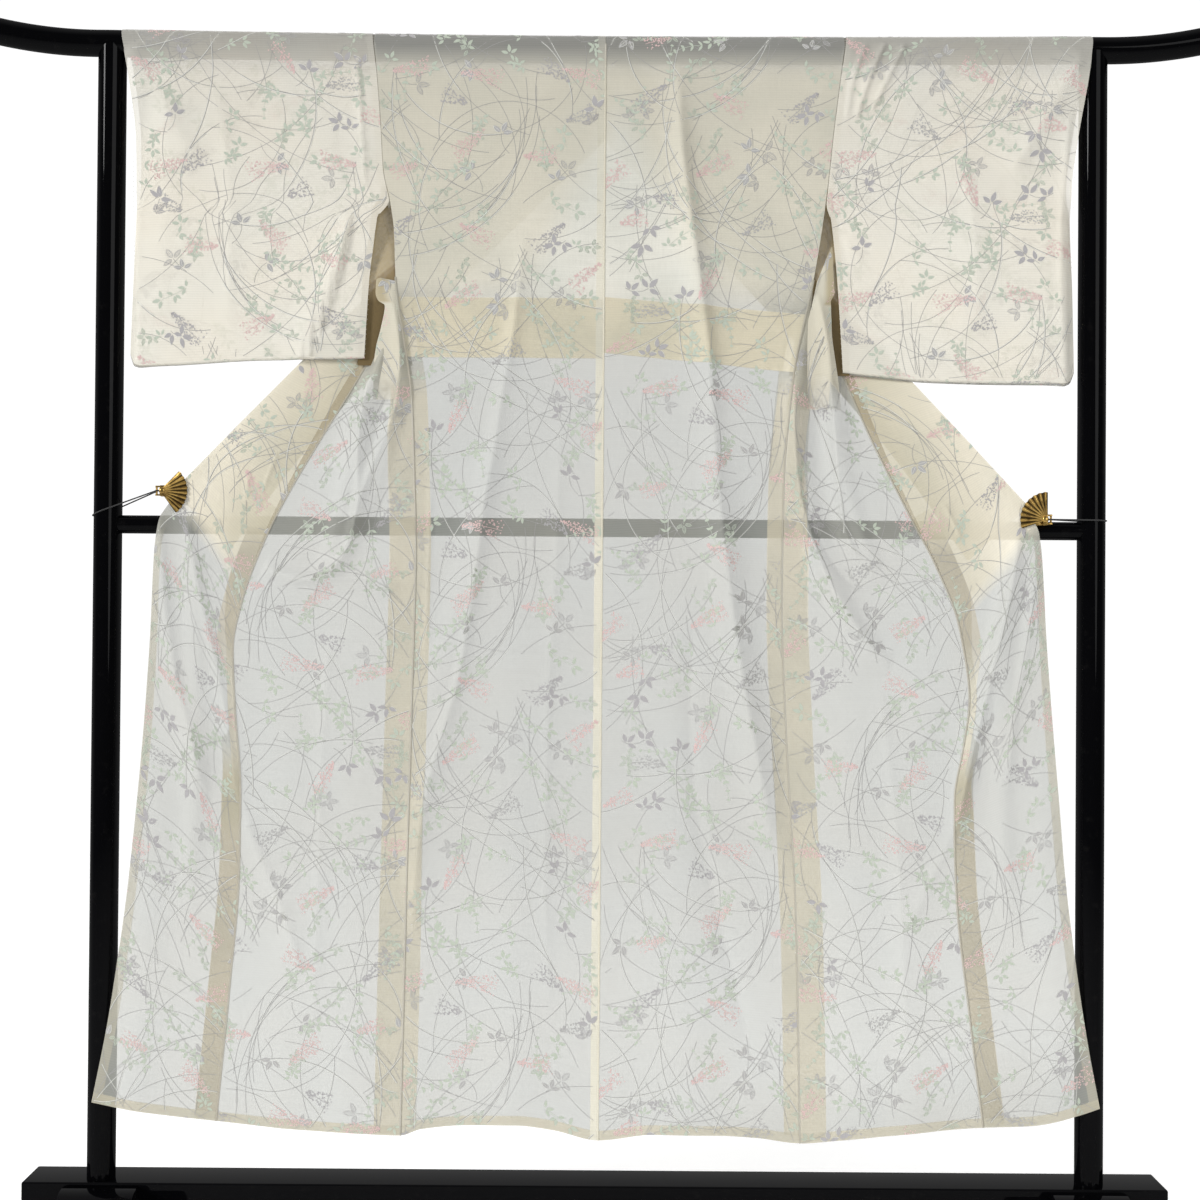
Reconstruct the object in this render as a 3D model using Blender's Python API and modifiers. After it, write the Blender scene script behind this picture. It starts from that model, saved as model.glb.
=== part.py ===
"""Woman's unlined silk kimono, hung spread out on a lacquered kimono stand, seen from its back.

Metres, +Z up. The origin is on the floor under the middle of the stand, the back of the kimono
faces -Y, and the top rail runs along X. Every cloth wall is an open surface between its own seam
lines, given its thickness with Solidify.
"""

import math
from collections import namedtuple

import bpy
import bmesh
from mathutils import Vector

# ---------------------------------------------------------------- driving dimensions
SEAM_GAP = 0.0003  # between pieces that are sewn or touch
CLOTH = 0.0012  # wall of one layer of cloth
DOUBLE = 0.0020  # wall of the folded collar

POST_X, POST_R = 0.6985, 0.0200
RAIL_Z, RAIL_R, RAIL_SAG = 1.7050, 0.0190, 0.0050
RAIL_HALF, RAIL_SWEEP = 0.9000, 0.75
CROSS_Z, CROSS_R = 1.0195, 0.0130
BEAM_HALF, BEAM_FRONT, BEAM_BACK = 0.8050, -0.0250, 0.0620
BEAM_TOP, BEAM_BOTTOM = 0.0940, 0.0393
FOOT_X, FOOT_WIDTH, FOOT_REACH = 0.6925, 0.1050, 0.2500

DRAPE_R = POST_R + SEAM_GAP + CLOTH / 2  # middle of the cloth over the rail, clear of the posts
DRAPE_DROP = 0.0007  # the cloth sinks this far onto the rail
BACK_Y = -0.0205  # plane of the back
FRONT_Y = -0.0235  # plane of the spread fronts, clear of the posts
CENTRE_X = 0.0040
SLEEVE_OPEN_Z = 1.480  # the sleeve is sewn to the body above this
CUFF_Z = 1.485  # the cuff is open above this
CLIP_Y = -0.0165  # the collar where the clip holds it
FAN_R, FAN_ROOT, FAN_RIBS, FAN_PLATE, FAN_RIB_LIFT = 0.0380, 0.0060, 9, 0.0010, 0.0012
PIN_R, CORD_R = 0.0015, 0.0010

# The clips: place of the fan's root, how far the fan turns up from level and how wide it opens in
# degrees, length of the leaf behind the cloth, and how much lower the cord sits on the post.
Clip = namedtuple("Clip", "x z tilt spread leaf drop")
CLIPS = {-1: Clip(-0.6205, 1.0665, -4, 100, 0.020, 0.027),
         1: Clip(0.6320, 1.0350, 35, 110, 0.032, 0.0005)}  # its cord clears the cross rail
COLLAR_STRAIGHT = 0.85  # share of the collar line on which it comes forward to CLIP_Y

# Seams and edges, from the top down: height and distance from the middle.
Edge = namedtuple("Edge", "z x")
BACK_SIDE = {
    -1: [Edge(1.722, -0.327), Edge(1.655, -0.319), Edge(1.582, -0.313), Edge(1.522, -0.309),
         Edge(1.480, -0.300), Edge(1.438, -0.294), Edge(1.371, -0.291), Edge(1.265, -0.275),
         Edge(1.208, -0.267), Edge(1.090, -0.262), Edge(0.985, -0.259), Edge(0.765, -0.263),
         Edge(0.455, -0.269), Edge(0.162, -0.274)],
    1: [Edge(1.722, 0.345), Edge(1.655, 0.336), Edge(1.582, 0.327), Edge(1.522, 0.321),
        Edge(1.460, 0.314), Edge(1.366, 0.299), Edge(1.310, 0.287), Edge(1.259, 0.276),
        Edge(1.180, 0.266), Edge(1.093, 0.260), Edge(0.913, 0.258), Edge(0.733, 0.265),
        Edge(0.458, 0.281), Edge(0.155, 0.288)],
}
INNER = {  # nape, along the collar to the overlap's point, then its seam down to the hem
    -1: [Edge(1.697, 0.004), Edge(1.608, -0.082), Edge(1.475, -0.213), Edge(1.345, -0.283), Edge(1.247, -0.332),
         Edge(1.144, -0.393), Edge(1.064, -0.439), Edge(1.000, -0.471), Edge(0.910, -0.503),
         Edge(0.845, -0.515), Edge(0.764, -0.511), Edge(0.646, -0.502), Edge(0.531, -0.503),
         Edge(0.381, -0.514), Edge(0.181, -0.532)],
    1: [Edge(1.697, 0.004), Edge(1.608, 0.090), Edge(1.475, 0.222), Edge(1.345, 0.294), Edge(1.232, 0.345),
        Edge(1.138, 0.387), Edge(1.035, 0.439), Edge(0.969, 0.474), Edge(0.880, 0.508),
        Edge(0.780, 0.522), Edge(0.717, 0.514), Edge(0.639, 0.501), Edge(0.514, 0.505),
        Edge(0.335, 0.525), Edge(0.179, 0.545)],
}
FRONT_EDGE = {
    -1: [Edge(1.058, -0.603), Edge(1.025, -0.621), Edge(0.978, -0.627), Edge(0.878, -0.631),
         Edge(0.781, -0.637), Edge(0.673, -0.645), Edge(0.516, -0.660), Edge(0.430, -0.671),
         Edge(0.326, -0.686), Edge(0.206, -0.708)],
    1: [Edge(1.046, 0.605), Edge(1.014, 0.621), Edge(0.951, 0.626), Edge(0.880, 0.630),
        Edge(0.790, 0.637), Edge(0.640, 0.650), Edge(0.547, 0.658), Edge(0.411, 0.675),
        Edge(0.300, 0.692), Edge(0.206, 0.709)],
}
CUFF = {
    -1: [Edge(1.724, -0.684), Edge(1.655, -0.671), Edge(1.560, -0.659), Edge(1.510, -0.658),
         Edge(1.419, -0.661), Edge(1.346, -0.664), Edge(1.242, -0.668)],
    1: [Edge(1.724, 0.695), Edge(1.672, 0.689), Edge(1.563, 0.671), Edge(1.501, 0.664),
        Edge(1.447, 0.664), Edge(1.374, 0.668), Edge(1.227, 0.672)],
}
FURI = {  # the sleeve's inner edge; above SLEEVE_OPEN_Z it follows the body's side
    -1: [Edge(1.480, -0.317), Edge(1.419, -0.322), Edge(1.367, -0.328), Edge(1.256, -0.334)],
    1: [Edge(1.480, 0.322), Edge(1.444, 0.326), Edge(1.361, 0.334), Edge(1.240, 0.342)],
}

# Hems: distance from the middle and height.
Hem = namedtuple("Hem", "x z")
BODY_HEM = [Hem(-0.709, 0.206), Hem(-0.667, 0.198), Hem(-0.607, 0.189), Hem(-0.531, 0.181),
            Hem(-0.441, 0.172), Hem(-0.334, 0.165), Hem(-0.274, 0.162), Hem(-0.245, 0.171),
            Hem(-0.184, 0.177), Hem(-0.113, 0.178), Hem(-0.059, 0.171), Hem(0.004, 0.157),
            Hem(0.084, 0.166), Hem(0.174, 0.165), Hem(0.227, 0.162), Hem(0.288, 0.155),
            Hem(0.341, 0.160), Hem(0.431, 0.169), Hem(0.538, 0.179), Hem(0.610, 0.182),
            Hem(0.681, 0.198), Hem(0.711, 0.208)]
SLEEVE_HEM = {
    -1: [Hem(-0.670, 1.242), Hem(-0.599, 1.245), Hem(-0.491, 1.252), Hem(-0.411, 1.254),
         Hem(-0.333, 1.256)],
    1: [Hem(0.343, 1.240), Hem(0.392, 1.235), Hem(0.464, 1.229), Hem(0.573, 1.227),
        Hem(0.672, 1.227)],
}
SLEEVE_GAP = 0.0009  # at the curved seam between sleeve and body
SLEEVE_CORNER = 0.020  # round of the sleeve's outer bottom corner

# How each front and its overlap hang: stations from the shoulder to the hem, by the height of the
# front's side and of its inner seam, the depth of the side, the depth of the small pleats gathered
# at the armpit, and the place on the overlap's outer edge: up to 1 a share of the collar line, then
# 1 to 2 down the free front edge.
Station = namedtuple("Station", "side_z seam_z side_y pleat edge")
FRONT_STATIONS = [
    Station(1.699, 1.696, 0.0209, 0.000, 0.000),
    Station(1.640, 1.640, 0.0160, 0.000, 0.090),
    Station(1.570, 1.580, 0.0108, 0.001, 0.185),
    Station(1.510, 1.520, 0.0060, 0.002, 0.280),
    Station(1.455, 1.462, -0.0025, 0.003, 0.385),
    Station(1.410, 1.410, -0.0130, 0.003, 0.450),
    Station(1.371, 1.345, -0.0205, 0.004, 0.540),
    Station(1.310, 1.290, -0.0205, 0.005, 0.615),
    Station(1.250, 1.230, -0.0205, 0.005, 0.690),
    Station(1.180, 1.165, -0.0208, 0.004, 0.775),
    Station(1.090, 1.080, -0.0212, 0.003, 0.880),
    Station(1.010, 1.000, -0.0214, 0.001, 0.950),
    Station(0.955, 0.950, -0.0216, 0.000, 1.000),
    Station(0.880, 0.880, -0.0216, 0.000, 1.070),
    Station(0.740, 0.745, -0.0216, 0.000, 1.250),
    Station(0.600, 0.610, -0.0216, 0.000, 1.430),
    Station(0.450, 0.460, -0.0216, 0.000, 1.620),
    Station(0.300, 0.315, -0.0216, 0.000, 1.820),
    Station(0.159, 0.181, -0.0216, 0.000, 2.000),
]
OKUMI_FIRST, CLIP_STATION = 4, 12  # the overlap starts at one station and meets the clip at another

# Width of the collar along its half length, from the nape to its end.
Band = namedtuple("Band", "along width")
COLLAR_BAND = [Band(0.00, 0.084), Band(0.35, 0.080), Band(0.70, 0.088), Band(1.00, 0.115)]

# Main folds in the spread cloth: a line through three points, half width and height towards -Y.
Fold = namedtuple("Fold", "x0 z0 x1 z1 x2 z2 width height")
FOLDS = [
    Fold(-0.147, 1.150, -0.190, 0.975, -0.240, 0.740, 0.022, 0.0065),
    Fold(0.175, 1.120, 0.204, 0.910, 0.262, 0.540, 0.024, 0.0070),
    Fold(-0.120, 1.000, -0.118, 0.600, -0.118, 0.100, 0.045, 0.0060),
    Fold(0.110, 0.950, 0.118, 0.600, 0.122, 0.100, 0.050, 0.0065),
    Fold(-0.300, 1.330, -0.342, 1.080, -0.385, 0.950, 0.016, 0.0070),
    Fold(-0.274, 1.235, -0.300, 1.130, -0.330, 1.020, 0.012, 0.0045),
    Fold(-0.345, 0.930, -0.350, 0.550, -0.352, 0.100, 0.045, 0.0050),
    Fold(-0.440, 0.860, -0.430, 0.500, -0.432, 0.100, 0.035, 0.0045),
    Fold(0.290, 1.300, 0.287, 1.050, 0.372, 0.860, 0.016, 0.0080),
    Fold(0.337, 1.240, 0.342, 1.080, 0.392, 0.960, 0.014, 0.0070),
    Fold(0.350, 0.900, 0.360, 0.550, 0.362, 0.100, 0.045, 0.0055),
    Fold(0.460, 0.880, 0.440, 0.500, 0.445, 0.100, 0.035, 0.0045),
    Fold(-0.585, 1.030, -0.565, 0.900, -0.575, 0.500, 0.016, 0.0060),
    Fold(0.588, 1.015, 0.568, 0.890, 0.580, 0.480, 0.016, 0.0060),
    Fold(-0.620, 0.700, -0.635, 0.450, -0.650, 0.150, 0.028, 0.0045),
    Fold(0.622, 0.700, 0.640, 0.450, 0.655, 0.150, 0.028, 0.0045),
]

BACK_COLUMNS, FRONT_COLUMNS, OKUMI_COLUMNS, SLEEVE_COLUMNS = 9, 8, 4, 8
STATION_STEPS, ARC_ROWS, FOLD_ROWS = 2, 8, 4  # rows a station, round the rail, round a sleeve's hem
COLLAR_COLUMNS, COLLAR_ROWS = 3, 14

SIDES = {-1: "left", 1: "right"}


# ---------------------------------------------------------------- object and material helpers
def clear_scene():
    for obj in list(bpy.data.objects):
        bpy.data.objects.remove(obj, do_unlink=True)


def new_collection(name):
    found = bpy.data.collections.new(name)
    bpy.context.scene.collection.children.link(found)
    return found


def finish(name, colour, roughness, metallic=0.0, coat=0.0):
    material = bpy.data.materials.new(name)
    material.use_nodes = True
    shader = material.node_tree.nodes["Principled BSDF"]
    shader.inputs["Base Color"].default_value = (*colour, 1.0)
    shader.inputs["Roughness"].default_value = roughness
    shader.inputs["Metallic"].default_value = metallic
    shader.inputs["Coat Weight"].default_value = coat
    material.diffuse_color = (*colour, 1.0)
    return material


def silk(name):
    return finish(name + "_silk", (0.86, 0.84, 0.76), 0.55)


def lacquer(name):
    return finish(name + "_lacquer", (0.012, 0.012, 0.016), 0.12, coat=1.0)


def gold(name):
    return finish(name + "_gold", (0.72, 0.50, 0.18), 0.28, metallic=1.0)


def place(name, mesh, material, collection):
    obj = bpy.data.objects.new(name, mesh)
    obj.data.materials.append(material)
    collection.objects.link(obj)
    return obj


def mesh_from(bm, name):
    mesh = bpy.data.meshes.new(name)
    bm.to_mesh(mesh)
    bm.free()
    return mesh


def grid_mesh(name, rows, closed=False):
    """A sheet through rows of points; closed joins each row's end to its start."""
    bm = bmesh.new()
    verts = [[bm.verts.new(point) for point in row] for row in rows]
    across = len(rows[0]) if closed else len(rows[0]) - 1
    for lower, upper in zip(verts, verts[1:]):
        for i in range(across):
            j = (i + 1) % len(lower)
            bm.faces.new((lower[i], lower[j], upper[j], upper[i]))
    bmesh.ops.recalc_face_normals(bm, faces=bm.faces)
    return mesh_from(bm, name)


def sheet(name, rows, thickness, collection, closed=False):
    obj = place(name, grid_mesh(name, rows, closed), silk(name), collection)
    obj.data.shade_smooth()
    wall = obj.modifiers.new("Wall", "SOLIDIFY")
    wall.thickness = thickness
    wall.offset = 0.0
    return obj


# ---------------------------------------------------------------- interpolation
def smooth_at(table, key, value, where):
    """The value column of a table at a place in its key column, on a smooth curve."""
    rows = sorted(table, key=lambda row: getattr(row, key))
    keys = [getattr(row, key) for row in rows]
    values = [getattr(row, value) for row in rows]
    where = min(max(where, keys[0]), keys[-1])
    i = max(k for k in range(len(keys) - 1) if keys[k] <= where)
    slopes = [(values[k + 1] - values[k]) / (keys[k + 1] - keys[k]) for k in range(len(keys) - 1)]

    def tangent(k):
        if k in (0, len(keys) - 1):
            return slopes[min(k, len(slopes) - 1)]
        before, after = slopes[k - 1], slopes[k]
        return 0.0 if before * after <= 0 else 2 * before * after / (before + after)

    span = keys[i + 1] - keys[i]
    t = (where - keys[i]) / span
    return (
        values[i] * (1 + 2 * t) * (1 - t) ** 2
        + tangent(i) * span * t * (1 - t) ** 2
        + values[i + 1] * t * t * (3 - 2 * t)
        + tangent(i + 1) * span * t * t * (t - 1)
    )


def station_at(stations, place_along):
    """A station between two rows of a table, on a curve through four rows."""
    last = len(stations) - 1
    i = min(int(place_along), last - 1)
    t = place_along - i
    rows = [stations[min(max(i + k, 0), last)] for k in (-1, 0, 1, 2)]
    return type(stations[0])(
        *(
            0.5 * (2 * b + (c - a) * t + (2 * a - 5 * b + 4 * c - d) * t * t
                   + (3 * b - a - 3 * c + d) * t**3)
            for a, b, c, d in zip(*rows)
        )
    )


def mix(a, b, t):
    return a + (b - a) * t


def ease(t):
    t = min(max(t, 0.0), 1.0)
    return t * t * (3 - 2 * t)


# ---------------------------------------------------------------- the cloth's own geometry
def rail_z(x):
    """Height of the rail's middle: it sags a little between the posts."""
    return RAIL_Z - RAIL_SAG * max(0.0, 1 - (x / POST_X) ** 2)


def over_rail(x, along, radius=DRAPE_R):
    """Depth and height of cloth on the rail, along from the -Y side, pi * radius to the +Y side."""
    angle = along / radius
    return -radius * math.cos(angle), rail_z(x) - DRAPE_DROP + radius * math.sin(angle)


def body_x(table, z):
    return smooth_at(table, "z", "x", z)


def hem_z(x):
    return smooth_at(BODY_HEM, "x", "z", x)


def fold_height(x, z):
    """How far the main folds lift the spread cloth towards -Y."""
    lift = 0.0
    for fold in FOLDS:
        if not fold.z2 - 0.1 < z < fold.z0 + 0.1:
            continue
        share = (fold.z0 - z) / (fold.z0 - fold.z2)
        t = min(max(share, 0.0), 1.0)
        middle = (1 - t) ** 2 * fold.x0 + 2 * t * (1 - t) * (
            2 * fold.x1 - (fold.x0 + fold.x2) / 2
        ) + t * t * fold.x2
        fade = ease((share + 0.12) / 0.35) * ease((1.12 - share) / 0.30)
        lift += fold.height * fade * math.exp(-(((x - middle) / fold.width) ** 2))
    return lift


def collar_line(side, share):
    """A point on the taut collar seam from the nape (0) to the clip (1)."""
    end = FRONT_EDGE[side][0]
    nape_z = rail_z(0) - 0.0030
    depth = mix(0.0225, CLIP_Y, min(share / COLLAR_STRAIGHT, 1.0))
    return Vector(
        (mix(CENTRE_X, end.x, share), depth, mix(nape_z, end.z + 0.008, share))
    )


def collar_down(side):
    """The way across the collar, away from its seam."""
    along = collar_line(side, 1.0) - collar_line(side, 0.0)
    across = Vector((along.z * side, 0, -along.x * side))
    return across.normalized() if across.z < 0 else -across.normalized()


def collar_depth(side, x, z):
    """Depth of the collar line nearest to a place in the spread cloth."""
    start, end = collar_line(side, 0.0), collar_line(side, 1.0)
    run, rise = end.x - start.x, end.z - start.z
    share = ((x - start.x) * run + (z - start.z) * rise) / (run**2 + rise**2)
    return collar_line(side, min(max(share, 0.0), 1.0)).y


def seam_y(side, x, z):
    """Depth of the overlap's seam: level with the collar above its point, then in front of it."""
    in_front = 0.0023 * ease((1.54 - z) / 0.06)
    near = collar_depth(side, x, z) - in_front
    return mix(min(near, mix(near, CLIP_Y - 0.0030, ease((1.10 - z) / 0.06))), FRONT_Y,
               ease((1.02 - z) / 0.14))


def side_heights(steps):
    """Heights of the rows that backs, fronts and sleeves share along the side, hem to shoulder."""
    last = len(FRONT_STATIONS) - 1
    return [station_at(FRONT_STATIONS, k / steps).side_z for k in range(last * steps, -1, -1)]


def back_rows(side, columns, steps, arc):
    """Rows of points of one back, from its hem to the top of the rail."""
    made = []
    heights = side_heights(steps)
    for k in range(len(heights) + arc):
        row = []
        for i in range(columns + 1):
            u = i / columns
            trim = side * SEAM_GAP / 2 * (1 - 2 * u)
            side_z = heights[min(k, len(heights) - 1)]
            x = mix(CENTRE_X, body_x(BACK_SIDE[side], side_z), u) + trim
            ridge = rail_z(x) - DRAPE_DROP
            if k < len(heights):
                share = (side_z - heights[0]) / (heights[-1] - heights[0])
                foot = mix(CENTRE_X, body_x(BACK_SIDE[side], 0.155), u)
                own = mix(hem_z(foot), ridge, share)
                z = mix(own, side_z, u**3 * ease((1.55 - side_z) / 0.1) * ease(share / 0.1))
                hang = ease((ridge - z) / 0.25)
                y = mix(-DRAPE_R, BACK_Y, hang) - fold_height(x, z) * hang
            else:
                along = (k - len(heights) + 1) / arc * (math.pi * DRAPE_R / 2 - SEAM_GAP / 2)
                y, z = over_rail(x, along)
            row.append(Vector((x, y, z)))
        made.append(row)
    return made


def hang_low(z_row, z_hem, x, row_share):
    """Height of a point once the hem's own curve is taken up towards the bottom."""
    return mix(z_row, hem_z(x) + z_row - z_hem, row_share)


def front_point(side, station, u):
    """A point of a front, u from its side (0) to its inner seam (1)."""
    apart = mix(0.0008, 0.0002, ease((station.side_z - 1.42) / 0.15))
    side_x = body_x(BACK_SIDE[side], station.side_z) + side * apart
    seam_x = body_x(INNER[side], station.seam_z)
    trim = min(SEAM_GAP / max(abs(seam_x - side_x), 0.01), 0.1)
    v = mix(trim, 1 - trim, u)
    x = mix(side_x, seam_x, v)
    low = ease((0.9 - station.seam_z) / 0.7)
    z = hang_low(mix(station.side_z, station.seam_z, v), mix(0.159, 0.181, v), x, low)
    # round the armpit the front laps over the overlap's seam
    lap = 0.0018 * ease((station.seam_z - 1.26) / 0.05) * ease((1.54 - station.seam_z) / 0.05)
    y = mix(station.side_y, seam_y(side, seam_x, station.seam_z) - lap, v)
    spread = ease((1.40 - station.side_z) / 0.16)
    y -= fold_height(x, z) * spread
    y -= station.pleat * math.sin(math.pi * u) * math.cos(3 * math.pi * u) * spread
    return Vector((x, y, z))


def front_rows(side, columns, steps, arc):
    """Rows of points of one front, from the top of the rail to the hem."""
    made = []
    top = front_rows_x(side, columns)
    for k in range(arc):
        along = mix(math.pi * DRAPE_R / 2 + SEAM_GAP / 2, math.pi * DRAPE_R, k / arc)
        made.append([Vector((x, *over_rail(x, along))) for x in top])
    for k in range((len(FRONT_STATIONS) - 1) * steps + 1):
        station = station_at(FRONT_STATIONS, k / steps)
        row = [front_point(side, station, i / columns) for i in range(columns + 1)]
        if k == 0:
            row = [Vector((x, *over_rail(x, math.pi * DRAPE_R))) for x in top]
        made.append(row)
    return made


def front_rows_x(side, columns):
    """Across the top of a front, from the sleeve to the nape."""
    outer, nape = body_x(BACK_SIDE[side], FRONT_STATIONS[0].side_z), CENTRE_X
    return [mix(outer, nape, i / columns) + side * SEAM_GAP * (2 * i / columns - 1) / 2
            for i in range(columns + 1)]


def okumi_rows(side, columns, steps):
    """Rows of points of one overlap panel, from its point on the collar to the hem."""
    made = []
    first_z, last_z = FRONT_EDGE[side][0].z, FRONT_EDGE[side][-1].z
    for k in range(OKUMI_FIRST * steps, (len(FRONT_STATIONS) - 1) * steps + 1):
        station = station_at(FRONT_STATIONS, k / steps)
        seam_x = body_x(INNER[side], station.seam_z)
        inner = Vector((seam_x, seam_y(side, seam_x, station.seam_z), station.seam_z))
        if k <= CLIP_STATION * steps:
            outer = collar_line(side, station.edge) - Vector((0, 0.0023, 0))
            outer.y = min(outer.y, mix(outer.y, CLIP_Y - 0.0030, ease((1.12 - outer.z) / 0.05)))
        else:
            z = mix(first_z, last_z, min(station.edge - 1, 1.0))
            y = mix(CLIP_Y - 0.0030, FRONT_Y, ease((1.03 - z) / 0.14))
            outer = Vector((body_x(FRONT_EDGE[side], z), y, z))
        trim = min(SEAM_GAP / (outer - inner).length, 0.2)
        low = ease((0.9 - station.seam_z) / 0.7)
        spread = ease((1.40 - station.side_z) / 0.16)
        row = []
        for c in range(columns + 1):
            u = mix(trim, 1 - trim, c / columns)
            point = inner.lerp(outer, u)
            point.z = hang_low(point.z, mix(0.181, last_z, u), point.x, low)
            calm = mix(1.0, ease((1.03 - point.z) / 0.08), ease(u / 0.4))
            point.y -= fold_height(point.x, point.z) * spread * calm
            row.append(point)
        made.append(row)
    return made


def sleeve_section(side, x_share, steps, over, bottom):
    """The closed section of a sleeve at a share of its length from the body to the cuff."""
    def across(z):
        if z >= SLEEVE_OPEN_Z:
            inner = body_x(BACK_SIDE[side], z) + side * SLEEVE_GAP
        else:
            join = body_x(BACK_SIDE[side], SLEEVE_OPEN_Z) + side * SLEEVE_GAP
            free = body_x(FURI[side], z)
            inner = mix(join, free, ease((SLEEVE_OPEN_Z - z) / 0.03))
        return mix(inner, body_x(CUFF[side], z), x_share)

    low_x = across(1.25)
    low = smooth_at(SLEEVE_HEM[side], "x", "z", low_x)
    outer_x = body_x(CUFF[side], 1.25)
    from_corner = min(abs(outer_x - low_x), SLEEVE_CORNER)
    low += SLEEVE_CORNER - math.sqrt(SLEEVE_CORNER**2 - (SLEEVE_CORNER - from_corner) ** 2)
    top = rail_z(low_x) - DRAPE_DROP
    closing = ease((x_share - 0.86) / 0.14)

    def layers(z):
        """Depth of the two layers at a height; they meet along the closed part of the cuff."""
        fall = (top - z) / (top - low)
        back = mix(-DRAPE_R, -0.0214, fall)
        front = mix(DRAPE_R, -0.0150, fall)
        # the cuff passes behind the post
        front = mix(front, DRAPE_R, ease((abs(across(z)) - 0.655) / 0.015))
        sewn = closing * ease((CUFF_Z + 0.02 - z) / 0.05)
        middle = mix(back, front, 0.35)
        return mix(back, middle - 0.0008, sewn), mix(front, middle + 0.0008, sewn)

    bottom_back, bottom_front = layers(low)
    curl = (bottom_front - bottom_back) / 2
    floor = low + curl
    sewn = [z for z in side_heights(steps)[:-1] if z > SLEEVE_OPEN_Z - 0.03]
    free = [s.side_z for s in FRONT_STATIONS[::-1] if 1.28 < s.side_z < sewn[0] - 0.01]
    up = [floor] + free + sewn
    points = [Vector((across(z), layers(z)[0], z)) for z in up]
    for k in range(over + 1):
        y, z = over_rail(low_x, math.pi * DRAPE_R * k / over)
        points.append(Vector((across(min(z, 1.72)), y, z)))
    points += [Vector((across(z), layers(z)[1], z)) for z in up[::-1]]
    for k in range(1, bottom):
        angle = math.pi * k / bottom
        y = (bottom_front + bottom_back) / 2 + curl * math.cos(angle)
        z = floor - curl * math.sin(angle)
        points.append(Vector((across(z), y, z)))
    return points


def collar_rows(columns, rows):
    """Rows of points of the collar, from its left end round the nape to its right end."""
    made = []
    for side in (-1, 1):
        down = collar_down(side)
        ranks = []
        for k in range(rows + 1):
            share = k / rows
            width = smooth_at(COLLAR_BAND, "along", "width", share)
            row = []
            for c in range(columns + 1):
                w = c / columns
                # at the nape both halves meet on the middle plane, as a mitre
                start = collar_line(side, 0.0) + down * width * w
                slope = collar_line(side, 1.0) - collar_line(side, 0.0)
                back_off = (CENTRE_X - start.x) / slope.x
                where = mix(back_off, 1.0, share)
                point = collar_line(side, max(where, 0.0))
                point += slope * min(where, 0.0)
                point += down * (width * w + SEAM_GAP)
                if point.z < CROSS_Z + 0.03:
                    point.y = min(point.y, CLIP_Y)
                row.append(point)
            ranks.append(row)
        made.append(ranks)
    left, right = made
    return left[::-1] + right[1:]


def tuck_rows(side, columns, rows):
    """Rows of points of the waist tuck, behind one back."""
    made = []
    behind = CLOTH + SEAM_GAP + 0.0005
    for k in range(rows + 1):
        row = []
        for c in range(columns + 1):
            u = mix(0.002, 0.94, c / columns)
            low, high = (1.258, 1.343) if side < 0 else (mix(1.266, 1.240, u), mix(1.345, 1.322, u))
            z = mix(low, high, k / rows)
            x = mix(CENTRE_X, body_x(BACK_SIDE[side], z), u)
            row.append(Vector((x, BACK_Y + behind - fold_height(x, z), z)))
        made.append(row)
    return made


# ---------------------------------------------------------------- stand
def bevelled(obj, width, segments=2):
    edge = obj.modifiers.new("Edges", "BEVEL")
    edge.width = width
    edge.segments = segments
    edge.limit_method = "ANGLE"
    edge.angle_limit = math.radians(40)
    return edge


def block(name, low, high, material, collection):
    bm = bmesh.new()
    bmesh.ops.create_cube(bm, size=1.0)
    for vert in bm.verts:
        for axis in range(3):
            vert.co[axis] = high[axis] if vert.co[axis] > 0 else low[axis]
    return place(name, mesh_from(bm, name), material, collection)


def tube(name, points, radius, material, collection, resolution=6, closed=False):
    """A round bar along a line of points."""
    data = bpy.data.curves.new(name, "CURVE")
    data.dimensions = "3D"
    data.bevel_depth = radius
    data.bevel_resolution = resolution
    data.use_fill_caps = not closed
    spline = data.splines.new("POLY")
    spline.points.add(len(points) - 1)
    for point, place_at in zip(spline.points, points):
        point.co = (*place_at, 1.0)
    spline.use_cyclic_u = closed
    obj = bpy.data.objects.new(name, data)
    obj.data.materials.append(material)
    collection.objects.link(obj)
    return obj


def drum(name, centre, axis, radius, half, material, collection, sides=40):
    """A round bar with flat ends, along X, Y or Z."""
    bm = bmesh.new()
    bmesh.ops.create_cone(bm, cap_ends=True, segments=sides, radius1=radius, radius2=radius,
                          depth=2 * half)
    turn = {"X": Vector((1, 0, 0)), "Y": Vector((0, 1, 0)), "Z": Vector((0, 0, 1))}[axis]
    rotation = Vector((0, 0, 1)).rotation_difference(turn).to_matrix()
    for vert in bm.verts:
        vert.co = rotation @ vert.co + Vector(centre)
    obj = place(name, mesh_from(bm, name), material, collection)
    obj.data.shade_smooth()
    return obj


def boolean(obj, other, operation):
    cut = obj.modifiers.new(operation.title(), "BOOLEAN")
    cut.operation = operation
    cut.object = other


def helper(obj):
    obj.hide_render = True
    obj.display_type = "WIRE"


def rail_points():
    """The top rail: nearly straight between the posts, then swept up at both ends."""
    half = [0.0, 0.16, 0.32, 0.45, 0.57, 0.66, 0.715, 0.76, 0.80, 0.84, 0.87, RAIL_HALF]
    points = []
    for x in [-x for x in half[:0:-1]] + half:
        out = max(0.0, abs(x) - 0.715)
        points.append(Vector((x, 0, rail_z(x) + RAIL_SWEEP * out**2)))
    return points


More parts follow.
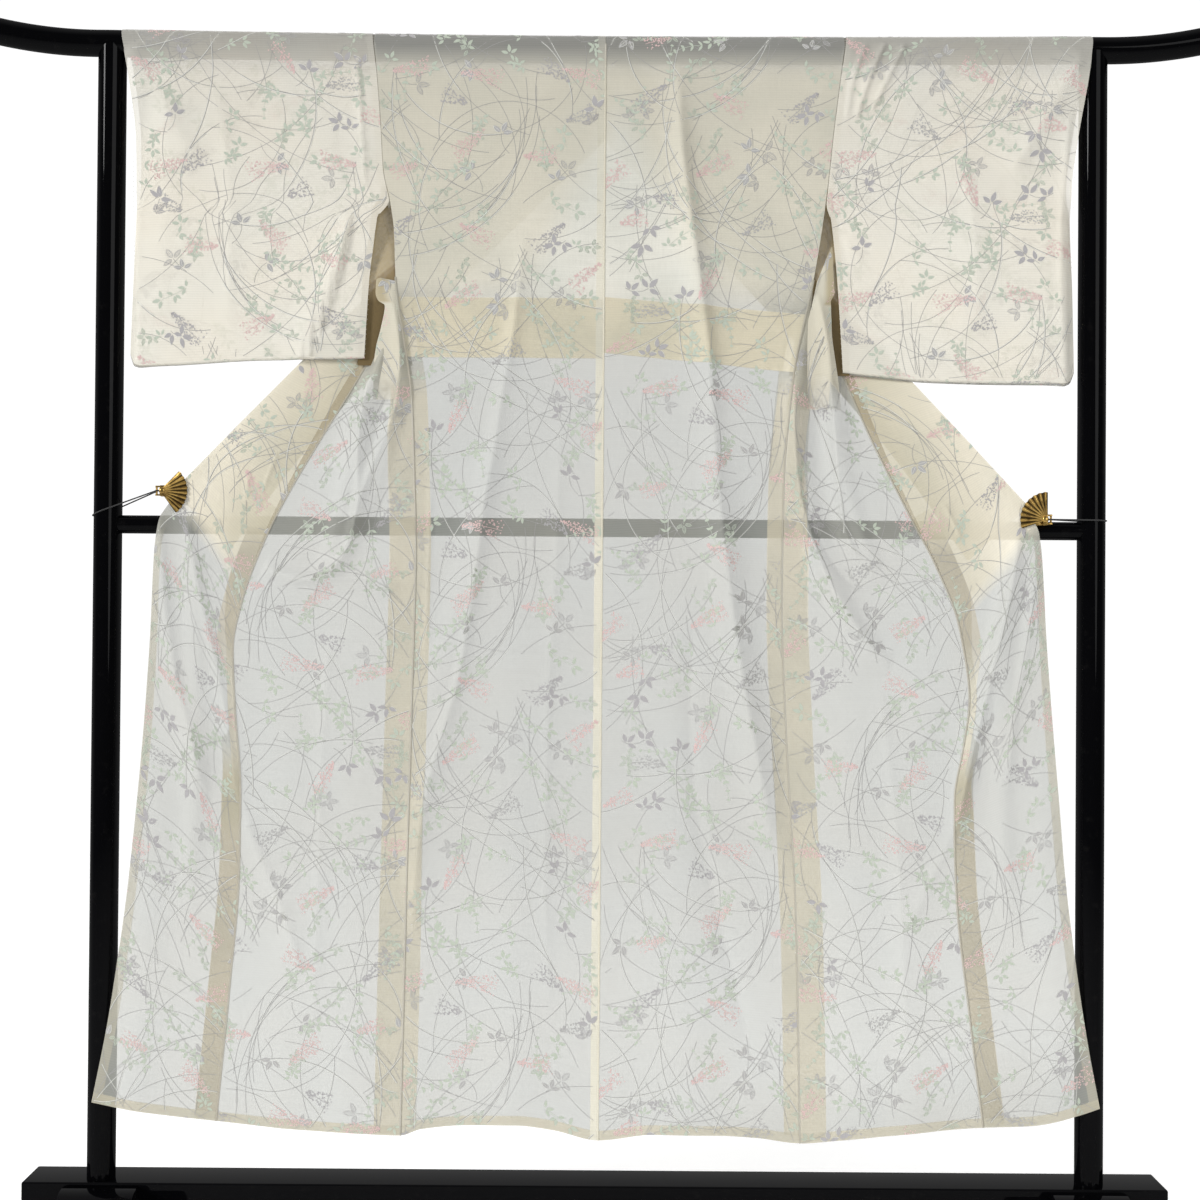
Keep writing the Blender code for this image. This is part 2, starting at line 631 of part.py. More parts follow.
def build_stand(collection, cutters):
    beam = block("base_beam", (-BEAM_HALF, BEAM_FRONT, BEAM_BOTTOM),
                 (BEAM_HALF, BEAM_BACK, BEAM_TOP), lacquer("base_beam"), collection)
    bevelled(beam, 0.003)
    for side, name in SIDES.items():
        foot = foot_mesh(side, "foot_" + name)
        obj = place("foot_" + name, foot, lacquer("foot_" + name), collection)
        bevelled(obj, 0.004)
        low, high = BEAM_TOP + SEAM_GAP, rail_z(POST_X) - 0.004
        post = drum("post_" + name, (side * POST_X, 0, (low + high) / 2), "Z", POST_R,
                    (high - low) / 2, lacquer("post_" + name), collection)
        saddle = drum("saddle_" + name, (side * POST_X, 0, RAIL_Z), "X", RAIL_R + 2 * SEAM_GAP, 0.05,
                      lacquer("saddle_" + name), cutters)
        helper(saddle)
        boolean(post, saddle, "DIFFERENCE")
    tube("top_rail", rail_points(), RAIL_R, lacquer("top_rail"), collection)
    reach = math.sqrt(POST_R**2 - CROSS_R**2)
    cross = drum("cross_rail", (0, 0, CROSS_Z), "X", CROSS_R, POST_X - reach,
                 lacquer("cross_rail"), collection, sides=24)
    for side, name in SIDES.items():
        socket = drum("socket_" + name, (side * POST_X, 0, CROSS_Z), "Z", POST_R + SEAM_GAP, 0.05,
                      lacquer("socket_" + name), cutters)
        helper(socket)
        boolean(cross, socket, "DIFFERENCE")


def foot_mesh(side, name):
    """A foot: low rounded toes that rise to hold the beam in a notch."""
    Profile = namedtuple("Profile", "y z")
    outline = [Profile(-FOOT_REACH, 0.0), Profile(-FOOT_REACH, 0.022), Profile(-0.240, 0.040),
               Profile(-0.220, 0.049), Profile(-0.130, 0.056), Profile(-0.090, 0.068),
               Profile(-0.065, 0.084), Profile(-0.045, 0.089), Profile(-0.0253, 0.089),
               Profile(-0.0253, 0.039), Profile(0.0623, 0.039), Profile(0.0623, 0.086),
               Profile(0.075, 0.084), Profile(0.100, 0.068), Profile(0.135, 0.056),
               Profile(0.220, 0.049), Profile(0.240, 0.040), Profile(FOOT_REACH, 0.022),
               Profile(FOOT_REACH, 0.0)]
    bm = bmesh.new()
    x = side * FOOT_X
    rim = [bm.verts.new((x - FOOT_WIDTH / 2, p.y, p.z)) for p in outline]
    face = bm.faces.new(rim)
    pushed = bmesh.ops.extrude_face_region(bm, geom=[face])
    for element in pushed["geom"]:
        if isinstance(element, bmesh.types.BMVert):
            element.co.x += FOOT_WIDTH
    bmesh.ops.recalc_face_normals(bm, faces=bm.faces)
    return mesh_from(bm, name)


# ---------------------------------------------------------------- fan clips and their cords
def clip_root(side):
    return Vector((CLIPS[side].x, 0, CLIPS[side].z))


def fan_mesh(side, name):
    """A pleated fan plate: flat behind, with a raised rib along each stick."""
    bm = bmesh.new()
    root = clip_root(side)
    back = CLIP_Y - 0.0036 - CLOTH / 2 - SEAM_GAP
    rings = []
    for radius in (FAN_ROOT, FAN_R * 0.45, FAN_R):
        front_ring, back_ring = [], []
        for i in range(2 * FAN_RIBS + 1):
            angle = math.radians(CLIPS[side].tilt + CLIPS[side].spread * (i / (2 * FAN_RIBS) - 0.5))
            lift = FAN_RIB_LIFT * (i % 2) * (0.4 if radius == FAN_ROOT else 1.0)
            reach = radius + (0.0012 * (i % 2) if radius == FAN_R else 0.0)
            x = root.x - side * reach * math.cos(angle)
            z = root.z + reach * math.sin(angle)
            front_ring.append(bm.verts.new((x, back - FAN_PLATE - lift, z)))
            back_ring.append(bm.verts.new((x, back, z)))
        rings.append((front_ring, back_ring))
    for (f0, b0), (f1, b1) in zip(rings, rings[1:]):
        for i in range(2 * FAN_RIBS):
            bm.faces.new((f0[i], f0[i + 1], f1[i + 1], f1[i]))
            bm.faces.new((b0[i + 1], b0[i], b1[i], b1[i + 1]))
        bm.faces.new((f0[0], f1[0], b1[0], b0[0]))
        bm.faces.new((f1[-1], f0[-1], b0[-1], b1[-1]))
    for (front_ring, back_ring), turn in ((rings[0], 1), (rings[-1], -1)):
        for i in range(2 * FAN_RIBS):
            quad = (front_ring[i + 1], front_ring[i], back_ring[i], back_ring[i + 1])
            bm.faces.new(quad[::turn])
    bmesh.ops.recalc_face_normals(bm, faces=bm.faces)
    return mesh_from(bm, name)


def build_clip(side, name, collection, cutters):
    root = clip_root(side)
    front_face = CLIP_Y - 0.0036 - CLOTH / 2 - SEAM_GAP
    rear_face = CLIP_Y + DOUBLE / 2 + SEAM_GAP
    place(f"clip_{name}_fan", fan_mesh(side, f"clip_{name}_fan"), gold(f"clip_{name}_fan"),
          collection)
    # rear jaw: a plain leaf behind the cloth
    leaf = root.x - side * CLIPS[side].leaf
    jaw = block(f"clip_{name}_jaw",
                (min(root.x, leaf), rear_face, root.z - 0.008),
                (max(root.x, leaf), rear_face + 0.0008, root.z + 0.008),
                gold(f"clip_{name}_jaw"), collection)
    bevelled(jaw, 0.0003, 1)
    # hinge: a small block between fan and jaw, with two lugs and an upright pin
    pin_x = root.x + side * 0.0052
    inner, outer = root.x - side * 0.0060, root.x + side * 0.0008
    depth = (front_face + SEAM_GAP, rear_face - SEAM_GAP)
    hinge = block(f"clip_{name}_hinge", (min(inner, outer), depth[0], root.z - 0.0075),
                  (max(inner, outer), depth[1], root.z + 0.0075),
                  gold(f"clip_{name}_hinge"), collection)
    middle = (depth[0] + depth[1]) / 2
    for end in (-1, 1):
        lug = block(f"lug_{name}_{end + 1}",
                    (min(root.x, pin_x + side * 0.0018), middle - 0.0018,
                     min(root.z + end * 0.0048, root.z + end * 0.0071)),
                    (max(root.x, pin_x + side * 0.0018), middle + 0.0018,
                     max(root.z + end * 0.0048, root.z + end * 0.0071)),
                    gold(f"lug_{name}_{end + 1}"), cutters)
        helper(lug)
        boolean(hinge, lug, "UNION")
    pin = drum(f"pin_{name}", (pin_x, middle, root.z), "Z", PIN_R, 0.0066,
               gold(f"pin_{name}"), cutters, sides=12)
    helper(pin)
    boolean(hinge, pin, "UNION")
    cord_loop(side, name, Vector((pin_x, middle, root.z)), collection)


def cord_loop(side, name, pin, collection):
    """An elastic cord, one closed loop round the hinge pin and round the post."""
    post = Vector((side * POST_X, 0.0))
    near = Vector((pin.x, pin.y))
    r_post, r_pin = POST_R + SEAM_GAP + CORD_R, PIN_R + SEAM_GAP + CORD_R
    line = post - near
    length = line.length
    heading = math.atan2(line.y, line.x)
    lean = math.acos((r_pin - r_post) / length)  # from the heading to where a strand leaves
    path = []
    for i in range(17):  # round the post, on its far side
        angle = heading + mix(-lean, lean, i / 16)
        path.append(post + r_post * Vector((math.cos(angle), math.sin(angle))))
    for i in range(9):  # round the pin, on its near side
        angle = heading + mix(lean, 2 * math.pi - lean, i / 8)
        path.append(near + r_pin * Vector((math.cos(angle), math.sin(angle))))
    points = []
    for p in path:
        share = (p.x - pin.x) / (post.x - pin.x)
        points.append(Vector((p.x, p.y, pin.z - CLIPS[side].drop * max(share, 0.0))))
    tube(f"cord_{name}", points, CORD_R, finish(f"cord_{name}_elastic", (0.02, 0.02, 0.02), 0.7),
         collection, resolution=1, closed=True)


# ---------------------------------------------------------------- the whole part
def build_kimono(collection):
    for side, name in SIDES.items():
        sheet("back_" + name, back_rows(side, BACK_COLUMNS, STATION_STEPS, ARC_ROWS // 2),
              CLOTH, collection)
        sheet("front_" + name, front_rows(side, FRONT_COLUMNS, STATION_STEPS, ARC_ROWS // 2),
              CLOTH, collection)
        sheet("okumi_" + name, okumi_rows(side, OKUMI_COLUMNS, STATION_STEPS), CLOTH, collection)
        sheet("waist_tuck_" + name, tuck_rows(side, FRONT_COLUMNS, 2), CLOTH, collection)
        rings = [
            sleeve_section(side, (i / SLEEVE_COLUMNS) ** 0.85, STATION_STEPS, ARC_ROWS, FOLD_ROWS)
            for i in range(SLEEVE_COLUMNS + 1)
        ]
        sheet("sleeve_" + name, rings, CLOTH, collection, closed=True)
    sheet("collar", collar_rows(COLLAR_COLUMNS, COLLAR_ROWS), DOUBLE, collection)


def main():
    clear_scene()
    whole = new_collection("silk_kimono_on_stand")
    cutters = new_collection("cutters")
    build_stand(whole, cutters)
    build_kimono(whole)
    for side, name in SIDES.items():
        build_clip(side, name, whole, cutters)


main()
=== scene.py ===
import math
from collections import namedtuple

import bmesh
import bpy
import numpy as np
from mathutils import Matrix, Vector


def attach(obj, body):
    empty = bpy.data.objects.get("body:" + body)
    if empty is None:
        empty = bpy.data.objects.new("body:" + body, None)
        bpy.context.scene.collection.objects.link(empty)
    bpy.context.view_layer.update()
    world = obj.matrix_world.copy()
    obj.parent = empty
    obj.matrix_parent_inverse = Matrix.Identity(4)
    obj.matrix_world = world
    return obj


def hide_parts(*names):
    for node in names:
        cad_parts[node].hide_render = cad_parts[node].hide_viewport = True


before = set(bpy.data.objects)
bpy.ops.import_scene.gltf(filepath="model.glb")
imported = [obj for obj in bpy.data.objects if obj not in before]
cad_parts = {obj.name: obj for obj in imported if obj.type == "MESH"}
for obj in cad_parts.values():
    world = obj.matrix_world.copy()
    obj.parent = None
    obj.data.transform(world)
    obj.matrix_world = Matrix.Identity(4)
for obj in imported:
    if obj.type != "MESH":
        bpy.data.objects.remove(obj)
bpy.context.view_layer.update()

# ---------------------------------------------------------------- the camera
# It stands in front of the kimono's back at half height, with a slight upward tilt and a slight
# lean of the frame.
camera = bpy.data.objects.new("camera", bpy.data.cameras.new("camera"))
camera.data.lens, camera.data.sensor_width = 61.26, 36.0
camera.location = (0.0014, -2.9, 0.880)
camera.rotation_euler = (Matrix.Rotation(math.radians(90.73), 3, "X")
                         @ Matrix.Rotation(math.radians(0.42), 3, "Z")).to_euler()
bpy.context.scene.collection.objects.link(camera)
bpy.context.scene.camera = camera

# ---------------------------------------------------------------- the stand
# A kimono stand of turned and planed wood under deep black lacquer: two sled feet, a beam let into
# them, two posts with saddled tops, a cross rail tenoned into the posts and a top rail whose ends
# sweep up.
SEAM_GAP = 0.0003  # between pieces that are sewn or touch

POST_X, POST_R = 0.6985, 0.0200
RAIL_Z, RAIL_R, RAIL_SAG = 1.7050, 0.0190, 0.0050
RAIL_HALF, RAIL_SWEEP = 0.9000, 0.75
CROSS_Z, CROSS_R = 1.0195, 0.0130
BEAM_HALF, BEAM_FRONT, BEAM_BACK = 0.8050, -0.0250, 0.0620
BEAM_TOP, BEAM_BOTTOM = 0.0940, 0.0393
FOOT_X, FOOT_WIDTH, FOOT_REACH = 0.6925, 0.1050, 0.2500
SIDES = {-1: "left", 1: "right"}


def plug(socket, value):
    """Set a socket to a fixed value, or link it to one that varies."""
    if isinstance(value, Finish):
        value.tree.links.new(value.socket, socket)
    else:
        socket.default_value = value


class Finish:
    """A value in a material's node tree, written like a number."""

    def __init__(self, tree, socket=None):
        self.tree, self.socket = tree, socket

    def node(self, kind, settings=None, out=0, **into):
        made = self.tree.nodes.new(kind)
        for key, value in (settings or {}).items():
            setattr(made, key, value)
        for key, value in into.items():
            plug(made.inputs[int(key[1:]) if key[0] == "_" else key.replace("_", " ")], value)
        return Finish(self.tree, made.outputs[out])

    def math(self, operation, other=0.0, turned=False):
        """One step of arithmetic; turned puts this value second."""
        a, b = (other, self) if turned else (self, other)
        return self.node("ShaderNodeMath", {"operation": operation}, _0=a, _1=b)

    def __add__(self, other): return self.math("ADD", other)
    def __radd__(self, other): return self.math("ADD", other, True)
    def __sub__(self, other): return self.math("SUBTRACT", other)
    def __rsub__(self, other): return self.math("SUBTRACT", other, True)
    def __mul__(self, other): return self.math("MULTIPLY", other)
    def __rmul__(self, other): return self.math("MULTIPLY", other, True)
    def __abs__(self): return self.math("ABSOLUTE")

    def noise(self, scale, detail=3.0, roughness=0.5):
        return self.node("ShaderNodeTexNoise", out=0, Vector=self, Scale=scale, Detail=detail,
                         Roughness=roughness)

    def stretched(self, x, y, z):
        return self.node("ShaderNodeMapping", Vector=self, Scale=(x, y, z))

    def between(self, low, high):
        """Two colours, mixed by this value."""
        low, high = ((*end, 1.0) if isinstance(end, tuple) else end for end in (low, high))
        return self.node("ShaderNodeMix", {"data_type": "RGBA"}, out=2, _0=self, _6=low, _7=high)

    def axis(self, name):
        return self.node("ShaderNodeSeparateXYZ", out=name, Vector=self)

    def most(self, other): return self.math("MAXIMUM", other)

    def under(self, limit):
        """1 where the value is below the limit, 0 above it, with a crisp edge."""
        return self.clipped(limit - 0.0004, limit + 0.0004, 1.0, 0.0)

    def clipped(self, low, high, to_low=0.0, to_high=1.0):
        return self.node("ShaderNodeMapRange", {"clamp": True}, _0=self, _1=low, _2=high,
                         _3=to_low, _4=to_high)

    def relief(self, distance, strength=1.0):
        return self.node("ShaderNodeBump", Strength=strength, Distance=distance, Height=self)


def new_finish(name):
    """A material, the place on the piece, and its shader."""
    material = bpy.data.materials.new(name)
    material.use_nodes = True
    shader = material.node_tree.nodes["Principled BSDF"]
    here = Finish(material.node_tree).node("ShaderNodeTexCoord", out="Object")
    return material, here, shader


def feed(shader, **into):
    for key, value in into.items():
        plug(shader.inputs[key.replace("_", " ")], value)


def add_piece(name, mesh, materials, node=None, sharp=None):
    """Put a mesh in the scene. node is the solid of the part that it takes the place of."""
    piece = bpy.data.objects.new(name, mesh)
    for material in materials:
        mesh.materials.append(material)
    bpy.context.scene.collection.objects.link(piece)
    mesh.shade_smooth()
    if sharp:
        mesh.set_sharp_from_angle(angle=math.radians(sharp))
    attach(piece, "root")
    if node:
        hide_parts(node)
    return piece


def baked(obj):
    """The piece's mesh with its modifiers and curve settings worked out."""
    bpy.context.scene.collection.objects.link(obj)
    bpy.context.view_layer.update()
    graph = bpy.context.evaluated_depsgraph_get()
    mesh = bpy.data.meshes.new_from_object(obj.evaluated_get(graph))
    bpy.data.objects.remove(obj)
    return mesh


def mesh_of(bm, name):
    mesh = bpy.data.meshes.new(name)
    bm.to_mesh(mesh)
    bm.free()
    return mesh


def black_lacquer(name):
    """Polished lacquer: near black, with faint polishing haze and dust that has settled on it."""
    material, here, shader = new_finish(name)
    haze = here.noise(9.0, 4.0, 0.6)
    polish = here.stretched(1.0, 1.0, 0.15).noise(140.0, 2.0)
    dust = here.noise(60.0, 5.0, 0.65).clipped(0.58, 0.78)
    feed(shader, Base_Color=(dust * 0.25).between((0.0014, 0.0014, 0.0018), (0.014, 0.013, 0.012)),
         Roughness=0.07 + haze * 0.05 + dust * 0.08, Specular_IOR_Level=0.0,
         Coat_Weight=0.11, Coat_Roughness=0.03,
         Normal=(polish * 0.6 + haze * 0.4).relief(0.00015, 0.25))
    return material


lacquer = black_lacquer("black_lacquer")


def rail_z(x):
    """Height of the rail's middle: it sags a little between the posts."""
    return RAIL_Z - RAIL_SAG * max(0.0, 1 - (x / POST_X) ** 2)


def round_bar(name, points, radius, steps=10, closed=False, ends=None):
    """A round bar along a line of points, with its ends drawn in where radii are given."""
    data = bpy.data.curves.new(name, "CURVE")
    data.dimensions, data.bevel_depth, data.bevel_resolution = "3D", radius, steps
    data.use_fill_caps = not closed
    spline = data.splines.new("POLY")
    spline.points.add(len(points) - 1)
    for i, (point, at) in enumerate(zip(spline.points, points)):
        point.co = (*at, 1.0)
        point.radius = ends[i] if ends else 1.0
    spline.use_cyclic_u = closed
    return baked(bpy.data.objects.new(name, data))


def planed_block(name, low, high, edge, segments=3):
    bm = bmesh.new()
    bmesh.ops.create_cube(bm, size=1.0)
    for vert in bm.verts:
        for axis in range(3):
            vert.co[axis] = high[axis] if vert.co[axis] > 0 else low[axis]
    bmesh.ops.bevel(bm, geom=list(bm.edges), offset=edge, segments=segments, profile=0.6,
                    affect="EDGES")
    return mesh_of(bm, name)


add_piece("base_beam_lacquered", planed_block("beam", (-BEAM_HALF, BEAM_FRONT, BEAM_BOTTOM),
          (BEAM_HALF, BEAM_BACK, BEAM_TOP), 0.0035), [lacquer], "base_beam", 30)

Toe = namedtuple("Toe", "y z")
SLED = [Toe(-0.250, 0.022), Toe(-0.240, 0.040), Toe(-0.220, 0.049), Toe(-0.130, 0.056),
        Toe(-0.090, 0.068), Toe(-0.065, 0.084), Toe(-0.045, 0.089), Toe(-0.0253, 0.089)]
SLED_BACK = [Toe(0.0623, 0.086), Toe(0.075, 0.084), Toe(0.100, 0.068), Toe(0.135, 0.056),
             Toe(0.220, 0.049), Toe(0.240, 0.040), Toe(FOOT_REACH, 0.022)]


def along_curve(a, b, c, d, t):
    """Between b and c, on a smooth curve through four values."""
    return 0.5 * (2 * b + (c - a) * t + (2 * a - 5 * b + 4 * c - d) * t * t
                  + (3 * b - a - 3 * c + d) * t**3)


def smooth_line(points, steps):
    """Points on a curve through the given ones."""
    made = []
    for i in range(len(points) - 1):
        rows = [points[min(max(i + k, 0), len(points) - 1)] for k in (-1, 0, 1, 2)]
        for j in range(steps):
            t = j / steps
            made.append(tuple(along_curve(*four, t) for four in zip(*rows)))
    return made + [tuple(points[-1])]


for side, name in SIDES.items():
    outline = ([(-FOOT_REACH, 0.0)] + smooth_line(SLED, 5) + [(-0.0253, 0.039), (0.0623, 0.039)]
               + smooth_line(SLED_BACK, 5) + [(FOOT_REACH, 0.0)])
    bm = bmesh.new()
    face = bm.faces.new([bm.verts.new((side * FOOT_X - FOOT_WIDTH / 2, y, z)) for y, z in outline])
    pushed = bmesh.ops.extrude_face_region(bm, geom=[face])
    for element in pushed["geom"]:
        if isinstance(element, bmesh.types.BMVert):
            element.co.x += FOOT_WIDTH
    bmesh.ops.recalc_face_normals(bm, faces=bm.faces)
    rims = [e for e in bm.edges if abs(e.verts[0].co.x - e.verts[1].co.x) < 1e-6]
    bmesh.ops.bevel(bm, geom=rims, offset=0.004, segments=3, profile=0.6, affect="EDGES",
                    clamp_overlap=True)
    add_piece(f"foot_{name}_lacquered", mesh_of(bm, "foot"), [lacquer], "foot_" + name, 30)

    # the post, hollowed at its top to take the rail
    low, high = BEAM_TOP + SEAM_GAP, rail_z(POST_X) - 0.004
    bm = bmesh.new()
    around, up = 64, 6
    rings = []
    for k in range(up + 1):
        ring = []
        for i in range(around):
            angle = 2 * math.pi * i / around
            x, y = POST_R * math.cos(angle), POST_R * math.sin(angle)
            hollow = RAIL_Z - math.sqrt(max((RAIL_R + 2 * SEAM_GAP) ** 2 - y * y, 0.0))
            z = low + (min(high, hollow) - low) * k / up
            ring.append(bm.verts.new((side * POST_X + x, y, z)))
        rings.append(ring)
    for lower, upper in zip(rings, rings[1:]):
        for i in range(around):
            j = (i + 1) % around
            bm.faces.new((lower[i], lower[j], upper[j], upper[i]))
    bm.faces.new(rings[0][::-1])
    bm.faces.new(rings[-1])
    add_piece(f"post_{name}_lacquered", mesh_of(bm, "post"), [lacquer], "post_" + name, 40)

# the top rail's points from its middle outward, close together where its end sweeps up
half = [0.12 * k for k in range(5)] + [0.60, 0.66] + [0.70 + 0.01 * k for k in range(21)]
half = [x for x in half if x <= RAIL_HALF]
line = [(x, 0, rail_z(x) + RAIL_SWEEP * max(0.0, abs(x) - 0.715) ** 2)
        for x in [-x for x in half[:0:-1]] + half]
add_piece("top_rail_lacquered", round_bar("rail", line, RAIL_R, 16), [lacquer], "top_rail", 50)
reach = POST_X - math.sqrt(POST_R**2 - CROSS_R**2)
add_piece("cross_rail_lacquered", round_bar("cross", [(-reach, 0, CROSS_Z), (0, 0, CROSS_Z),
          (reach, 0, CROSS_Z)], CROSS_R, 12), [lacquer], "cross_rail", 50)

# ---------------------------------------------------------------- the two backs
# Each back is one length of sheer ribbed silk, woven 37 cm wide and printed before it was cut. The
# two are sewn together down the middle; their seam allowances lie inside and show through.
CLOTH = 0.0012  # wall of one layer of cloth
DRAPE_R = POST_R + SEAM_GAP + CLOTH / 2  # middle of the cloth over the rail, clear of the posts
DRAPE_DROP = 0.0007  # the cloth sinks this far onto the rail
BACK_Y = -0.0205  # plane of the back
CENTRE_X = 0.0040  # the middle seam
STEPS, ON_RAIL = 9, 14  # rows of points between two stations, and on each side of the rail's top

# Seams and edges, from the top down: height and distance from the middle.
Edge = namedtuple("Edge", "z x")
BACK_SIDE = {
    -1: [Edge(1.722, -0.327), Edge(1.655, -0.319), Edge(1.582, -0.313), Edge(1.522, -0.309),
         Edge(1.480, -0.300), Edge(1.438, -0.294), Edge(1.371, -0.291), Edge(1.265, -0.275),
         Edge(1.208, -0.267), Edge(1.090, -0.262), Edge(0.985, -0.259), Edge(0.765, -0.263),
         Edge(0.455, -0.269), Edge(0.162, -0.274)],
    1: [Edge(1.722, 0.345), Edge(1.655, 0.336), Edge(1.582, 0.327), Edge(1.522, 0.321),
        Edge(1.460, 0.314), Edge(1.366, 0.299), Edge(1.310, 0.287), Edge(1.259, 0.276),
        Edge(1.180, 0.266), Edge(1.093, 0.260), Edge(0.913, 0.258), Edge(0.733, 0.265),
        Edge(0.458, 0.281), Edge(0.155, 0.288)],
}

# Hems: distance from the middle and height.
Hem = namedtuple("Hem", "x z")
BODY_HEM = [Hem(-0.709, 0.206), Hem(-0.667, 0.198), Hem(-0.607, 0.189), Hem(-0.531, 0.181),
            Hem(-0.441, 0.172), Hem(-0.334, 0.165), Hem(-0.274, 0.162), Hem(-0.245, 0.171),
            Hem(-0.184, 0.177), Hem(-0.113, 0.178), Hem(-0.059, 0.171), Hem(0.004, 0.157),
            Hem(0.084, 0.166), Hem(0.174, 0.165), Hem(0.227, 0.162), Hem(0.288, 0.155),
            Hem(0.341, 0.160), Hem(0.431, 0.169), Hem(0.538, 0.179), Hem(0.610, 0.182),
            Hem(0.681, 0.198), Hem(0.711, 0.208)]

# How each front and its overlap hang: stations from the shoulder to the hem, by the height of the
# front's side and of its inner seam, the depth of the side, the depth of the small pleats gathered
# at the armpit, and the place on the overlap's outer edge: up to 1 a share of the collar line, then
# 1 to 2 down the free front edge.
Station = namedtuple("Station", "side_z seam_z side_y pleat edge")
FRONT_STATIONS = [
    Station(1.699, 1.696, 0.0209, 0.000, 0.000),
    Station(1.640, 1.640, 0.0160, 0.000, 0.090),
    Station(1.570, 1.580, 0.0108, 0.001, 0.185),
    Station(1.510, 1.520, 0.0060, 0.002, 0.280),
    Station(1.455, 1.462, -0.0025, 0.003, 0.385),
    Station(1.410, 1.410, -0.0130, 0.003, 0.450),
    Station(1.371, 1.345, -0.0205, 0.004, 0.540),
    Station(1.310, 1.290, -0.0205, 0.005, 0.615),
    Station(1.250, 1.230, -0.0205, 0.005, 0.690),
    Station(1.180, 1.165, -0.0208, 0.004, 0.775),
    Station(1.090, 1.080, -0.0212, 0.003, 0.880),
    Station(1.010, 1.000, -0.0214, 0.001, 0.950),
    Station(0.955, 0.950, -0.0216, 0.000, 1.000),
    Station(0.880, 0.880, -0.0216, 0.000, 1.070),
    Station(0.740, 0.745, -0.0216, 0.000, 1.250),
    Station(0.600, 0.610, -0.0216, 0.000, 1.430),
    Station(0.450, 0.460, -0.0216, 0.000, 1.620),
    Station(0.300, 0.315, -0.0216, 0.000, 1.820),
    Station(0.159, 0.181, -0.0216, 0.000, 2.000),
]

# Main folds in the spread cloth: a line through three points, half width and height towards -Y.
Fold = namedtuple("Fold", "x0 z0 x1 z1 x2 z2 width height")
FOLDS = [
    Fold(-0.147, 1.150, -0.190, 0.975, -0.240, 0.740, 0.022, 0.0065),
    Fold(0.175, 1.120, 0.204, 0.910, 0.262, 0.540, 0.024, 0.0070),
    Fold(-0.120, 1.000, -0.118, 0.600, -0.118, 0.100, 0.045, 0.0060),
    Fold(0.110, 0.950, 0.118, 0.600, 0.122, 0.100, 0.050, 0.0065),
    Fold(-0.300, 1.330, -0.342, 1.080, -0.385, 0.950, 0.016, 0.0070),
    Fold(-0.274, 1.235, -0.300, 1.130, -0.330, 1.020, 0.012, 0.0045),
    Fold(-0.345, 0.930, -0.350, 0.550, -0.352, 0.100, 0.045, 0.0050),
    Fold(-0.440, 0.860, -0.430, 0.500, -0.432, 0.100, 0.035, 0.0045),
    Fold(0.290, 1.300, 0.287, 1.050, 0.372, 0.860, 0.016, 0.0080),
    Fold(0.337, 1.240, 0.342, 1.080, 0.392, 0.960, 0.014, 0.0070),
    Fold(0.350, 0.900, 0.360, 0.550, 0.362, 0.100, 0.045, 0.0055),
    Fold(0.460, 0.880, 0.440, 0.500, 0.445, 0.100, 0.035, 0.0045),
    Fold(-0.585, 1.030, -0.565, 0.900, -0.575, 0.500, 0.016, 0.0060),
    Fold(0.588, 1.015, 0.568, 0.890, 0.580, 0.480, 0.016, 0.0060),
    Fold(-0.620, 0.700, -0.635, 0.450, -0.650, 0.150, 0.028, 0.0045),
    Fold(0.622, 0.700, 0.640, 0.450, 0.655, 0.150, 0.028, 0.0045),
]
